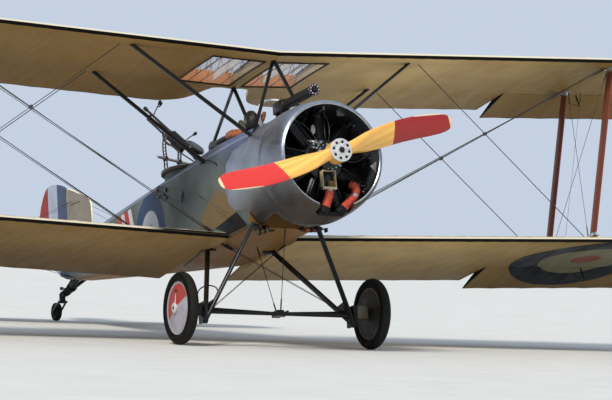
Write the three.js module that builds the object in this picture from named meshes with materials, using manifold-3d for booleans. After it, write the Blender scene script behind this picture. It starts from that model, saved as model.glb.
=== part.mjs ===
import * as THREE from 'three';
import { mergeVertices } from 'three/addons/utils/BufferGeometryUtils.js';
import Module from 'manifold-3d';

const wasm = await Module();
wasm.setup();
const { Manifold, Mesh: SolidMesh } = wasm;

// Millimetres. Origin at the propeller hub plate, +X to port, +Y aft, +Z up along the rig,
// then the whole machine is tipped nose up so that it sits on its wheels.
const RAD = Math.PI / 180;
const GROUND_ANGLE = 13.4;
const HUB_HEIGHT = 1816;
const CENTRE_SHIFT = -3698.3;

// Wings
const CHORD = 1676;
const SEMI_SPAN = 5105;
const UPPER = { y: 1115, z: 1172, rise: Math.tan(2.6 * RAD), incidence: 1.9 * RAD };
const LOWER = { y: 1720, z: -458, rise: Math.tan(2.0 * RAD), incidence: 1.3 * RAD };
const LOWER_ROOT = 352;
const FRONT_SPAR = 175;
const REAR_SPAR = 1085;
const STRUT_X = 3680;
const OUTER_X = 1450;
const AILERON = { hinge: 1150, inner: 2980, nose: 36, middle: 50, droop: 10 };
const PANEL = { inner: 60, outer: 600, front: 210, rear: 1050 };
const GAP = 0.3;

// Body
const LONGERON_TOP = 430;
const SEAT_Y = 1950;
const PILOT_OPENING = { x: 255, y: 505 };
const GUNNER_Y = 3150;
const GUNNER_OPENING = 290;
const RING = { inner: 300, outer: 355, low: 520, high: 552 };
const SKIN = 14;
const COWL_BACK = 660;
const COWL_RADIUS = 545;
const COWL_WALL = 12;
const STERN_Y = 6550;
const RUDDER_HINGE = 6600;
const ELEVATOR_HINGE = 6440;
const TAIL_Z = 452;
const PROP_Y = 74;
const PROP_ANGLE = 18.6;

// Height of a wheel's centre when it stands on the ground
const [SIN, COS] = [Math.sin(GROUND_ANGLE * RAD), Math.cos(GROUND_ANGLE * RAD)];
const restHeight = (y, radius) => (radius - HUB_HEIGHT + y * SIN) / COS;
const WHEEL = { x: 973, y: 1505, z: restHeight(1505, 333.5), radius: 333.5, tyre: 50, axle: 17 };
const TAIL_WHEEL = { y: 7050, z: restHeight(7050, 99), radius: 99, axle: 9 };
const TAIL_HEAD = { y: 6860, z: 38, pin: 13 };

const v = (x, y, z) => new THREE.Vector3(x, y, z);

// A closed solid from a geometry, whichever way its faces were wound
function toSolid(geometry) {
  geometry.deleteAttribute('normal');
  geometry.deleteAttribute('uv');
  const merged = mergeVertices(geometry, 1e-3);
  const position = merged.attributes.position;
  const corner = (i) => v().fromBufferAttribute(position, i);
  const index = merged.index.array;
  const faces = [];
  let volume = 0;
  for (let i = 0; i < index.length; i += 3) {
    const [a, b, c] = [index[i], index[i + 1], index[i + 2]];
    if (a !== b && b !== c && c !== a) {
      faces.push([a, b, c]);
      volume += corner(a).dot(corner(b).cross(corner(c)));
    }
  }
  const outward = volume < 0 ? faces.map(([a, b, c]) => [a, c, b]) : faces;
  return new Manifold(new SolidMesh({
    numProp: 3,
    vertProperties: new Float32Array(position.array),
    triVerts: new Uint32Array(outward.flat()),
  }));
}

function toGeometry(solid) {
  const mesh = solid.getMesh();
  const geometry = new THREE.BufferGeometry();
  geometry.setAttribute('position', new THREE.BufferAttribute(new Float32Array(mesh.vertProperties), 3));
  geometry.setIndex(new THREE.BufferAttribute(new Uint32Array(mesh.triVerts), 1));
  const flat = geometry.toNonIndexed();
  flat.computeVertexNormals();
  return flat;
}

// Skin over a row of closed loops, both ends closed by strips across each loop
function loft(rings) {
  const count = rings[0].length;
  const faces = [];
  for (let k = 0; k + 1 < rings.length; k += 1) {
    for (let i = 0; i < count; i += 1) {
      const a = k * count + i;
      const b = k * count + ((i + 1) % count);
      faces.push([a, b, b + count], [a, b + count, a + count]);
    }
  }
  const closeEnd = (base, flip) => {
    for (let i = 0; i < count / 2; i += 1) {
      const near = base + i;
      const next = base + i + 1;
      const far = base + ((count - i) % count);
      const farNext = base + count - i - 1;
      const strip = [];
      if (i > 0 && next < farNext) strip.push([near, farNext, far]);
      if (next < farNext) strip.push([near, next, farNext]);
      else if (i > 0 && next === farNext) strip.push([near, next, far]);
      strip.forEach(([p, q, r]) => faces.push(flip ? [p, q, r] : [p, r, q]));
    }
  };
  closeEnd(0, false);
  closeEnd((rings.length - 1) * count, true);
  const geometry = new THREE.BufferGeometry();
  const places = rings.flat().flatMap((p) => [p.x, p.y, p.z]);
  geometry.setAttribute('position', new THREE.Float32BufferAttribute(places, 3));
  geometry.setIndex(faces.flat());
  return toSolid(geometry);
}

const join = (list) => list.reduce((sum, piece) => sum.add(piece));
const mirrored = (solid) => solid.mirror([1, 0, 0]);
const bothSides = (solid) => solid.add(mirrored(solid));

function box(x0, x1, y0, y1, z0, z1) {
  const geometry = new THREE.BoxGeometry(x1 - x0, y1 - y0, z1 - z0);
  return toSolid(geometry.translate((x0 + x1) / 2, (y0 + y1) / 2, (z0 + z1) / 2));
}

function rod(from, to, radius, sides = 10, endRadius = radius) {
  const along = to.clone().sub(from);
  const geometry = new THREE.CylinderGeometry(endRadius, radius, along.length(), sides);
  geometry.applyQuaternion(new THREE.Quaternion().setFromUnitVectors(v(0, 1, 0), along.clone().normalize()));
  const middle = from.clone().add(to).multiplyScalar(0.5);
  return toSolid(geometry.translate(middle.x, middle.y, middle.z));
}

const aftDisc = (y0, y1, radius, sides, end = radius) => rod(v(0, y0, 0), v(0, y1, 0), radius, sides, end);

// Streamlined strut, deep fore and aft
function strut(from, to, depth, width, sides = 12) {
  const along = to.clone().sub(from).normalize();
  const across = v(0, 1, 0).cross(along).normalize();
  const fore = along.clone().cross(across).normalize();
  const ring = (centre) => Array.from({ length: sides }, (_, i) => {
    const turn = (i / sides) * 2 * Math.PI;
    return centre.clone()
      .addScaledVector(fore, (Math.cos(turn) * depth) / 2)
      .addScaledVector(across, (Math.sin(turn) * width) / 2);
  });
  return loft([ring(from), ring(to)]);
}

function tube(points, radius, steps, sides, closed = false) {
  const circle = new THREE.Shape();
  circle.absarc(0, 0, radius, 0, 2 * Math.PI);
  const extrudePath = new THREE.CatmullRomCurve3(points, closed);
  const options = { steps, curveSegments: sides / 2, extrudePath, bevelEnabled: false };
  return toSolid(new THREE.ExtrudeGeometry(circle, options));
}

// Profile of [radius, height] pairs turned about the height axis, which points as given
function turned(profile, sides, along) {
  const ends = profile[0][0] === 0 ? [] : [profile[0]];
  const points = [...profile, ...ends].map(([r, h]) => new THREE.Vector2(r, h));
  const geometry = new THREE.LatheGeometry(points, sides);
  geometry.applyQuaternion(new THREE.Quaternion().setFromUnitVectors(v(0, 1, 0), along));
  return toSolid(geometry);
}

const outlineShape = (outline) => new THREE.Shape(outline.map(([a, b]) => new THREE.Vector2(a, b)));

// Outline given in the side view as [y, z] pairs, thick about the centreline
function sideSlab(outline, half) {
  const geometry = new THREE.ExtrudeGeometry(outlineShape(outline), { depth: 2 * half, bevelEnabled: false });
  geometry.translate(0, 0, -half);
  return toSolid(geometry.applyMatrix4(new THREE.Matrix4().makeBasis(v(0, 1, 0), v(0, 0, 1), v(1, 0, 0))));
}

// Outline given in the plan view as [x, y] pairs
function planSlab(outline, z0, z1) {
  const geometry = new THREE.ExtrudeGeometry(outlineShape(outline), { depth: z1 - z0, bevelEnabled: false });
  return toSolid(geometry.translate(0, 0, z0));
}

const ellipse = (cx, cy, rx, ry, sides = 24) => Array.from({ length: sides }, (_, i) => {
  const turn = (i / sides) * 2 * Math.PI;
  return [cx + rx * Math.cos(turn), cy + ry * Math.sin(turn)];
});

function turnAbout(solid, point, axis, degrees) {
  const matrix = new THREE.Matrix4().makeTranslation(point.x, point.y, point.z)
    .multiply(new THREE.Matrix4().makeRotationAxis(axis, degrees * RAD))
    .multiply(new THREE.Matrix4().makeTranslation(-point.x, -point.y, -point.z));
  return solid.transform(matrix.elements);
}

// Wing section, as parts of the chord above the chord line
const SECTION = [
  { s: 0.02, top: 0.036, under: 0.004 },
  { s: 0.08, top: 0.056, under: 0.000 },
  { s: 0.20, top: 0.0666, under: 0.003 },
  { s: 0.35, top: 0.068, under: 0.008 },
  { s: 0.50, top: 0.0632, under: 0.010 },
  { s: 0.66, top: 0.053, under: 0.009 },
  { s: 0.80, top: 0.038, under: 0.005 },
  { s: 1.00, top: 0.007, under: 0.001 },
];
const NOSE_HEIGHT = 0.018;
const MEAN_HEIGHT = 0.03;

// Tip outline: how far the leading and trailing edges are drawn in
const TIP = [
  { x: 4640, lead: 0, trail: 0, depth: 1 },
  { x: 4820, lead: 22, trail: 0, depth: 1 },
  { x: 4950, lead: 90, trail: 6, depth: 0.95 },
  { x: 5040, lead: 220, trail: 40, depth: 0.82 },
  { x: 5088, lead: 430, trail: 130, depth: 0.6 },
  { x: SEMI_SPAN, lead: 690, trail: 330, depth: 0.3 },
];

// A point of the wing, back from the leading edge and up from the chord line
function wingPoint(wing, x, back, up) {
  const cos = Math.cos(wing.incidence);
  const sin = Math.sin(wing.incidence);
  return v(x, wing.y + back * cos + up * sin, wing.z + Math.abs(x) * wing.rise - back * sin + up * cos);
}

function wingRing(wing, { x, lead, trail, depth }) {
  const length = CHORD - lead - trail;
  const thinned = (h) => (MEAN_HEIGHT + (h - MEAN_HEIGHT) * depth) * CHORD;
  const place = (s, h) => wingPoint(wing, x, lead + s * length, thinned(h));
  return [
    place(0, NOSE_HEIGHT),
    ...SECTION.map((row) => place(row.s, row.top)),
    ...SECTION.slice().reverse().map((row) => place(row.s, row.under)),
  ];
}

const wingPanel = (wing, rootX) => loft([{ ...TIP[0], x: rootX }, ...TIP].map((row) => wingRing(wing, row)));

// Room for a rounded hinge nose: wide all along, close at the hinge blocks
const HINGE_SIDES = 16;
const NOSE_ROOM = 6;
const SNUG = 1.035;
function noseRoom(from, to, radius, blocks) {
  return rod(from, to, radius + NOSE_ROOM, HINGE_SIDES).subtract(join(blocks))
    .add(rod(from, to, radius * SNUG, HINGE_SIDES));
}

// Cuts an aileron out of a wing, hung on a rounded nose, and lets it droop
const BELOW = -1500;
const ABOVE = 1900;
const AILERON_GAP = 9;
const HINGE_BLOCKS = [3150, 4000, 4850];
const BLOCK_DEPTH = 18;
function splitAileron(panel, wing) {
  const inner = wingPoint(wing, AILERON.inner - 200, AILERON.hinge, AILERON.middle);
  const outer = wingPoint(wing, SEMI_SPAN + 60, AILERON.hinge, AILERON.middle);
  const aftEnd = wing.y + CHORD + 20;
  const aft = (slack) => box(AILERON.inner - slack, SEMI_SPAN + 60, inner.y - 90, aftEnd, BELOW, ABOVE);
  const behindHinge = box(0, 9000, inner.y, 9000, BELOW, ABOVE);
  const blocks = HINGE_BLOCKS.map((x) => {
    const low = wingPoint(wing, x, AILERON.hinge, AILERON.middle).z - BLOCK_DEPTH;
    return box(x - 30, x + 30, 0, inner.y, low, ABOVE);
  });
  const room = behindHinge.add(noseRoom(inner, outer, AILERON.nose, blocks));
  const fixed = panel.subtract(aft(AILERON_GAP).intersect(room));
  const nose = rod(inner, outer, AILERON.nose, HINGE_SIDES);
  const moving = panel.intersect(aft(0)).intersect(behindHinge.add(nose));
  const drooped = turnAbout(moving, inner, outer.clone().sub(inner).normalize(), -AILERON.droop);
  return { fixed, moving: drooped, swing: rod(inner, outer, AILERON.nose + NOSE_ROOM, HINGE_SIDES) };
}

// Upper wing: clear panels beside the centre and a curved notch in the trailing edge
const upperWhole = wingPanel(UPPER, 1.5);
const NOTCH = [
  { x: -10, back: 1125 }, { x: 110, back: 1130 }, { x: 185, back: 1165 }, { x: 235, back: 1270 },
  { x: 270, back: 1400 }, { x: 330, back: 1520 }, { x: 430, back: 1610 }, { x: 560, back: 1690 },
  { x: -10, back: 1750 },
];
const notch = planSlab(NOTCH.map(({ x, back }) => [x, UPPER.y + back]), 900, 1500);
const panelHole = (slack) => box(
  PANEL.inner + slack, PANEL.outer - slack,
  UPPER.y + PANEL.front + slack, UPPER.y + PANEL.rear - slack, 900, 1500,
);
const upper = splitAileron(upperWhole.subtract(notch), UPPER);
const upperWing = upper.fixed.subtract(panelHole(0));
const clearPanel = upperWhole.intersect(panelHole(GAP));
const lowerWhole = wingPanel(LOWER, LOWER_ROOT);
const lower = splitAileron(lowerWhole, LOWER);

// Fuselage cross sections: half width, bottom, top of the flat side and crest of the deck
const HULL = [
  { y: 1285, half: 338, low: -430, shoulder: LONGERON_TOP, crest: 545 },
  { y: 1500, half: 344, low: -430, shoulder: LONGERON_TOP, crest: 566 },
  { y: 2000, half: 348, low: -430, shoulder: LONGERON_TOP, crest: 600 },
  { y: 2500, half: 347, low: -428, shoulder: LONGERON_TOP, crest: 560 },
  { y: 2780, half: 345, low: -427, shoulder: LONGERON_TOP, crest: 512 },
  { y: 2950, half: 344, low: -425, shoulder: LONGERON_TOP, crest: 512 },
  { y: 4000, half: 302, low: -262, shoulder: LONGERON_TOP, crest: 507 },
  { y: 4900, half: 240, low: -120, shoulder: LONGERON_TOP, crest: 515 },
  { y: 5600, half: 170, low: -8, shoulder: LONGERON_TOP, crest: 518 },
  { y: 6160, half: 100, low: 80, shoulder: LONGERON_TOP - 8, crest: 490 },
  { y: STERN_Y, half: 34, low: 160, shoulder: LONGERON_TOP - 22, crest: 450 },
];

function hullAt(y) {
  const next = Math.max(1, HULL.findIndex((row) => row.y >= y));
  const [a, b] = [HULL[next - 1], HULL[next]];
  const part = (y - a.y) / (b.y - a.y);
  const between = (key) => a[key] + (b[key] - a[key]) * part;
  const [half, low, shoulder, crest] = ['half', 'low', 'shoulder', 'crest'].map(between);
  return { y, half, low, shoulder, crest };
}

const DECK_STEPS = 6;
function hullRing(row, inset) {
  const half = row.half - inset;
  const low = row.low + inset;
  const crest = row.crest - inset;
  const corner = Math.min(24, half * 0.4);
  const deck = Array.from({ length: DECK_STEPS - 1 }, (_, i) => {
    const turn = ((i + 1) / DECK_STEPS) * (Math.PI / 2);
    return [half * Math.cos(turn), row.shoulder + (crest - row.shoulder) * Math.sin(turn)];
  });
  const right = [[half - corner, low], [half, low + corner], [half, row.shoulder], ...deck];
  const left = right.slice().reverse().map(([x, z]) => [-x, z]);
  return [[0, low], ...right, [0, crest], ...left].map(([x, z]) => v(x, row.y, z));
}

const hull = loft(HULL.map((row) => hullRing(row, 0)));
const hullSleeve = loft([hullAt(HULL[0].y - GAP), ...HULL.slice(1)].map((row) => hullRing(row, -GAP)));
const ROOM_ENDS = { front: HULL[0].y + SKIN, rear: 3700 };
const roomRows = [ROOM_ENDS.front, 1500, 2000, 2500, 2780, 2950, ROOM_ENDS.rear].map(hullAt);
const hullRoom = loft(roomRows.map((row) => hullRing(row, SKIN)));
const hullFit = loft(roomRows.map((row) => hullRing(row, SKIN + GAP)));

const pilotHole = (grow) => (
  planSlab(ellipse(0, SEAT_Y, PILOT_OPENING.x + grow, PILOT_OPENING.y + grow), 300, 900)
);
const gunnerHole = planSlab(ellipse(0, GUNNER_Y, GUNNER_OPENING, GUNNER_OPENING, 32), 300, 900);

// Low collar that carries the gun ring
const COLLAR = GUNNER_OPENING + 32;
const collar = planSlab(ellipse(0, GUNNER_Y, COLLAR, COLLAR, 32), 425, RING.low);
const fuselage = hull.add(collar).subtract(hullRoom).subtract(pilotHole(0)).subtract(gunnerHole);

// Aluminium nose: round behind the cowl, fading into the flat sides
function noseRing({ y, half, top, low, corner }, grow) {
  const sides = 28;
  return Array.from({ length: sides }, (_, i) => {
    const turn = -Math.PI / 2 + (i / sides) * 2 * Math.PI;
    const [c, s] = [Math.cos(turn), Math.sin(turn)];
    const x = Math.sign(c) * (half + grow) * Math.abs(c) ** corner;
    const rise = ((top - low) / 2 + grow) * Math.abs(s) ** corner;
    return v(x, y, (top + low) / 2 + Math.sign(s) * rise);
  });
}

const SEAM = COWL_RADIUS - 3;
const NOSE = [
  { y: COWL_BACK + GAP, half: SEAM, top: SEAM, low: -SEAM, corner: 1 },
  { y: 1000, half: 478, top: 545, low: -500, corner: 0.92 },
  { y: 1300, half: 400, top: 558, low: -455, corner: 0.78 },
  { y: 1700, half: 352, top: 572, low: -425, corner: 0.62 },
  { y: 2050, half: 330, top: 560, low: -400, corner: 0.6 },
];
const noseOuter = loft(NOSE.map((row) => noseRing(row, 0)));
const noseSleeve = loft(NOSE.map((row) => noseRing(row, GAP)));
const NOSE_ROOM_ROWS = [{ ...NOSE[0], y: COWL_BACK - 20 }, NOSE[1], { ...NOSE[2], y: 1290 }];
const noseInner = loft(NOSE_ROOM_ROWS.map((row) => noseRing(row, -COWL_WALL)));
const bellyCut = box(-345, 345, 770, 2200, -800, -404);
const CHEEK_CUT = [
  [1180, -900], [1180, -500], [1285, -446], [1690, -175], [2020, 120], [2200, 160], [2200, -900],
];
const noseFairing = noseOuter.subtract(noseInner).subtract(hullSleeve).subtract(hullRoom)
  .subtract(bellyCut).subtract(sideSlab(CHEEK_CUT, 900)).subtract(pilotHole(3));
const bodyKeepOut = bothSides(hullSleeve.add(noseSleeve));

// Cowl: a soft round front that narrows to the opening
const COWL_OUTSIDE = [
  { y: 204, radius: 476 }, { y: 188, radius: 482 }, { y: 186, radius: 492 }, { y: 196, radius: 503 },
  { y: 220, radius: 512 }, { y: 300, radius: 527 }, { y: 400, radius: 540 }, { y: 500, radius: COWL_RADIUS },
  { y: COWL_BACK, radius: COWL_RADIUS },
];
const COWL_INSIDE = [
  { y: 160, radius: 472 }, { y: 215, radius: 472 }, { y: 240, radius: 488 }, { y: 300, radius: 512 },
  { y: 500, radius: COWL_RADIUS - COWL_WALL }, { y: COWL_BACK + 20, radius: COWL_RADIUS - COWL_WALL },
];
const circleAt = ({ y, radius }) => ellipse(0, 0, radius, radius, 40).map(([x, z]) => v(x, y, z));
const roundShell = (rows) => loft(rows.map(circleAt));
const hoseNotch = box(-150, 182, 150, 316, -560, -400);
const cowling = roundShell(COWL_OUTSIDE).subtract(roundShell(COWL_INSIDE)).subtract(hoseNotch);

// Engine: nine finned cylinders round a drum, with the nose case in front
const CYLINDERS = 9;
const ENGINE_Y = 470;
const FINS = [222, 268, 314, 360];
const BARREL = [
  [0, 150], [66, 150], ...FINS.flatMap((at) => [[66, at - 7], [88, at], [66, at + 7]]),
  [80, 404], [62, 486], [0, 486],
];
function cylinder(i) {
  const turn = (i / CYLINDERS) * 2 * Math.PI + Math.PI / 2;
  const [out, side] = [v(Math.cos(turn), 0, Math.sin(turn)), v(-Math.sin(turn), 0, Math.cos(turn))];
  const at = (reach, fore, aside) => (
    v(0, ENGINE_Y - fore, 0).addScaledVector(out, reach).addScaledVector(side, aside)
  );
  const rockers = [-1, 1].flatMap((s) => [
    rod(at(470, 40, 34 * s), at(512, 46, 40 * s), 24, 5, 17),
    rod(at(196, 88, 28 * s), at(480, 66, 42 * s), 9, 4),
  ]);
  return join([turned(BARREL, 8, out).translate([0, ENGINE_Y, 0]), ...rockers]);
}
const engine = join([
  aftDisc(360, 620, 200, 18), aftDisc(230, 370, 104, 18), aftDisc(134 + GAP, 240, 70, 18, 105),
  aftDisc(600, 1040, 150, 16), aftDisc(1000, HULL[0].y - GAP, 120, 16),
  ...Array.from({ length: CYLINDERS }, (_, i) => cylinder(i)),
]);

// Propeller blade sections out along the span
const BLADE = [
  { x: 60, chord: 112, thick: 104, pitch: 56 },
  { x: 150, chord: 138, thick: 92, pitch: 48 },
  { x: 320, chord: 210, thick: 62, pitch: 37 },
  { x: 560, chord: 220, thick: 40, pitch: 28 },
  { x: 820, chord: 216, thick: 27, pitch: 21 },
  { x: 1050, chord: 186, thick: 18, pitch: 17 },
  { x: 1170, chord: 140, thick: 12, pitch: 15 },
  { x: 1215, chord: 84, thick: 9, pitch: 15 },
  { x: 1228, chord: 34, thick: 6, pitch: 15 },
];
const blade = loft(BLADE.map((row) => ellipse(0, 0, row.chord / 2, row.thick / 2, 12).map(([a, b]) => {
  const [cos, sin] = [Math.cos(row.pitch * RAD), Math.sin(row.pitch * RAD)];
  return v(row.x, PROP_Y - a * sin + b * cos, a * cos + b * sin);
})));
const HUB = { front: 14, back: 134, radius: 104, plate: 107, bolts: 8, circle: 74 };
const hub = aftDisc(HUB.front, HUB.back, HUB.radius, 28);
const propeller = join([blade, blade.rotate([0, 180, 0]), hub]).rotate([0, -PROP_ANGLE, 0]);
const boltPlaces = ellipse(0, 0, HUB.circle, HUB.circle, HUB.bolts);
const hubBolts = boltPlaces.map(([x, z]) => rod(v(x, -9, z), v(x, 2, z), 11, 6));
const hubPlate = join([aftDisc(0, HUB.front - GAP, HUB.plate, 28), aftDisc(-16, 2, 34, 16), ...hubBolts]);

// Cooler box and the two hoses under the hub
const cooler = join([box(-72, 66, 268, 322, -296, -120), box(-34, 6, 318, 359.7, -230, -140)])
  .subtract(box(-63, 57, 260, 300, -276, -129));
const SHIFTS = [[-GAP, 0, 0], [0, -GAP, 0], [0, 0, -GAP], [0, 0, GAP]];
const engineRoom = join(SHIFTS.map((shift) => engine.translate(shift)));
const PORT_BEND = [
  v(232, 322, -226), v(260, 300, -258), v(264, 284, -300),
  v(234, 274, -362), v(168, 264, -420), v(92, 256, -484),
];
const STARBOARD_BEND = [v(-1, 290, -320), v(-14, 286, -367), v(-44, 272, -430), v(-70, 258, -486)];
const hosePort = join([
  tube(PORT_BEND, 36, 10, 8),
  rod(v(118, 256, -468), v(64, 264, -518), 42, 12),
  rod(v(236, 318, -230), v(270, 392, -234), 40, 12),
]).subtract(engineRoom);
const hoseStarboard = join([
  rod(v(-2, 290, -296 - GAP), v(-2, 290, -330), 35, 12),
  tube(STARBOARD_BEND, 40, 8, 8),
  rod(v(-62, 256, -470), v(-92, 264, -518), 46, 12),
]).subtract(engineRoom);

// Interplane struts
const upperBoth = bothSides(upperWhole).translate([0, 0, -GAP]);
const lowerAbove = lowerWhole.translate([0, 0, GAP]);
const betweenWings = (back) => (
  strut(wingPoint(LOWER, STRUT_X, back, 45), wingPoint(UPPER, STRUT_X, back, 25), 112, 36)
    .subtract(upperBoth).subtract(lowerAbove).subtract(upper.swing).subtract(lower.swing)
);

// Centre struts: an inverted vee under the wing joint and a long strut to each side
const FEET = [{ name: 'front', y: 1140, back: FRONT_SPAR }, { name: 'rear', y: 2215, back: REAR_SPAR }];
const outerStrut = (foot) => strut(v(325, foot.y, 385), wingPoint(UPPER, OUTER_X, foot.back, 22), 62, 30)
  .subtract(upperBoth).subtract(bodyKeepOut);
const centreLeg = (foot, depth, width) => (
  strut(v(322, foot.y, 390), wingPoint(UPPER, 0, foot.back, 20), depth, width)
);
const centreVee = (foot) => bothSides(centreLeg(foot, 58, 28)).subtract(upperBoth).subtract(bodyKeepOut);

// Main bracing in each spar plane: a flying wire and a landing wire, joined where they cross
const WIRE = 4;
function spanWires(back) {
  const flying = [wingPoint(LOWER, LOWER_ROOT + 60, back, 60), wingPoint(UPPER, STRUT_X - 50, back, 20)];
  const landing = [wingPoint(UPPER, OUTER_X + 60, back, 20), wingPoint(LOWER, STRUT_X - 50, back, 60)];
  const line = new THREE.Line3(...flying);
  let [nearest, meet] = [Infinity, null];
  for (let t = 0; t <= 1; t += 0.002) {
    const point = landing[0].clone().lerp(landing[1], t);
    const other = line.closestPointToPoint(point, true, v());
    if (point.distanceTo(other) < nearest) [nearest, meet] = [point.distanceTo(other), [point, other]];
  }
  const middle = meet[0].clone().add(meet[1]).multiplyScalar(0.5);
  const bobbin = rod(middle.clone().add(v(0, -20, 0)), middle.clone().add(v(0, 20, 0)), 16, 10);
  return join([rod(...flying, WIRE, 6), rod(...landing, WIRE, 6), bobbin])
    .subtract(upperBoth).subtract(lowerAbove);
}

// Landing gear: a vee each side, twin spreader tubes and the axle between them
const VEE_FOOT = v(755, 1460, -1285);
const VEE_TOPS = [1235, 2280];
const GEAR_TOP = { x: 322, z: -400 };
const wheelAxle = (grow) => rod(v(500, WHEEL.y, WHEEL.z), v(1100, WHEEL.y, WHEEL.z), WHEEL.axle + grow, 20);
const gearVee = join([
  ...VEE_TOPS.map((y) => strut(v(GEAR_TOP.x, y, GEAR_TOP.z), VEE_FOOT, 70, 36)),
  rod(v(VEE_FOOT.x - 15, VEE_FOOT.y, VEE_FOOT.z), v(VEE_FOOT.x + 15, VEE_FOOT.y, VEE_FOOT.z), 26, 14),
  box(VEE_FOOT.x - 15, VEE_FOOT.x + 15, 1425, 1575, -1294, -1105),
]).subtract(bodyKeepOut).subtract(lowerWhole.translate([-GAP, 0, -GAP])).subtract(wheelAxle(GAP));
const SPREADERS = [{ y: 1446, z: -1202, end: 712 }, { y: 1552, z: -1184, end: 704 }];
const axleHalf = join([
  ...SPREADERS.map(({ y, z, end }) => rod(v(0, y, z), v(end, y, z), 15, 12)),
  box(0, 36, 1440, 1564, -1220, -1166),
  rod(v(0, WHEEL.y, -1192), v(680, WHEEL.y, WHEEL.z), WHEEL.axle, 14),
  rod(v(670, WHEEL.y, WHEEL.z), v(WHEEL.x + 77, WHEEL.y, WHEEL.z), WHEEL.axle, 20),
]).subtract(gearVee.translate([-GAP, 0, 0])).subtract(gearVee);
const axle = bothSides(axleHalf);

const BORE = WHEEL.axle + 0.4;
const DISC = [
  [BORE, -66], [52, -66], [60, -56], [232, -24], [246, -28],
  [246, 28], [232, 24], [60, 56], [52, 66], [BORE, 66],
];
const TYRE = [
  [247, -30], [256, -44], [272, -WHEEL.tyre], [292, -WHEEL.tyre], [310, -42], [325, -26], [WHEEL.radius, -8],
  [WHEEL.radius, 8], [325, 26], [310, 42], [292, WHEEL.tyre], [272, WHEEL.tyre], [256, 44], [247, 30],
];
const onAxle = (profile, sides, { x = 0, y, z }) => turned(profile, sides, v(1, 0, 0)).translate([x, y, z]);
const wheel = onAxle(DISC, 28, WHEEL);
const tyre = onAxle(TYRE, 28, WHEEL);

// Tail wheel on a swivelling fork behind a sprung bracket
const HEAD = { low: TAIL_HEAD.z - 30, high: TAIL_HEAD.z + 34 };
const headRod = (z0, z1, radius, sides = 16) => (
  rod(v(0, TAIL_HEAD.y, z0), v(0, TAIL_HEAD.y, z1), radius, sides)
);
const bracketEnd = v(0, TAIL_HEAD.y - 20, TAIL_HEAD.z + 8);
const tailBracket = join([
  strut(v(46, 6240, 125), bracketEnd, 58, 34), strut(v(-46, 6240, 125), bracketEnd, 58, 34),
  strut(v(0, 6490, 190), bracketEnd, 46, 34), headRod(HEAD.low, HEAD.high, 34),
]).subtract(hullSleeve).subtract(box(-20, 20, STERN_Y - 1, RUDDER_HINGE + 30, 164, 480))
  .subtract(headRod(HEAD.low - 20, HEAD.high + 20, TAIL_HEAD.pin + 0.5, 24))
  .subtract(headRod(HEAD.high, HEAD.high + 60, 36)).subtract(headRod(HEAD.low - 60, HEAD.low, 44));
const forkBlade = (side) => strut(
  v(42 * side, TAIL_HEAD.y, HEAD.low - 20), v(47 * side, TAIL_WHEEL.y, TAIL_WHEEL.z), 34, 8,
);
const tailFork = join([
  headRod(HEAD.low - 20, HEAD.high + 26, TAIL_HEAD.pin, 24),
  headRod(HEAD.low - 22, HEAD.low - GAP, 34),
  headRod(HEAD.high + GAP, HEAD.high + 16, 26),
  box(-48, 48, TAIL_HEAD.y - 26, TAIL_HEAD.y + 26, HEAD.low - 34, HEAD.low - 16),
  forkBlade(1), forkBlade(-1),
  rod(v(-52, TAIL_WHEEL.y, TAIL_WHEEL.z), v(52, TAIL_WHEEL.y, TAIL_WHEEL.z), TAIL_WHEEL.axle, 12),
]);
const TAIL_BORE = TAIL_WHEEL.axle + 0.4;
const TAIL_TYRE = [
  [TAIL_BORE, -38], [40, -38], [48, -26], [64, -34], [82, -34], [94, -24], [TAIL_WHEEL.radius, -12],
  [TAIL_WHEEL.radius, 12], [94, 24], [82, 34], [64, 34], [48, 26], [40, 38], [TAIL_BORE, 38],
];
const tailWheel = onAxle(TAIL_TYRE, 24, TAIL_WHEEL);

// Tail surfaces: plan of one half of the tailplane with its elevator behind
const TAIL_PLAN = [
  [0, 5560], [700, 5600], [1250, 5680], [1620, 5790], [1840, 5930], [1950, 6120], [1985, 6300], [1990, 6440],
  [1975, 6640], [1900, 6830], [1760, 6950], [1500, 7005], [340, 7010], [95, 6470], [95, 6400], [0, 6400],
];
const TAIL_SECTION = [
  [5540, 0], [5600, 12], [5760, 18], [6200, 20], [ELEVATOR_HINGE, 18], [7030, 5],
  [7030, -5], [ELEVATOR_HINGE, -18], [6200, -20], [5760, -18], [5600, -12],
];
const TAIL_NOSE = 20;
const tailThickness = sideSlab(TAIL_SECTION, 2200).translate([0, 0, TAIL_Z]);
const tailHalf = planSlab(TAIL_PLAN, 0, 900).intersect(tailThickness);
const tailWhole = bothSides(tailHalf);
const tailAxis = [v(-2200, ELEVATOR_HINGE, TAIL_Z), v(2200, ELEVATOR_HINGE, TAIL_Z)];
const TAIL_HINGES = [-1500, -850, -250, 250, 850, 1500];
const tailBlocks = TAIL_HINGES.map((x) => box(x - 25, x + 25, 6000, ELEVATOR_HINGE, 0, 900));
const behindTail = box(-2300, 2300, ELEVATOR_HINGE, 8000, 0, 900);
const tailplane = tailWhole.subtract(behindTail).subtract(hullSleeve)
  .subtract(noseRoom(...tailAxis, TAIL_NOSE, tailBlocks));
const elevator = tailHalf.intersect(behindTail.add(rod(...tailAxis, TAIL_NOSE, HINGE_SIDES)))
  .intersect(box(95, 2300, 6000, 8000, 0, 900));

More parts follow.
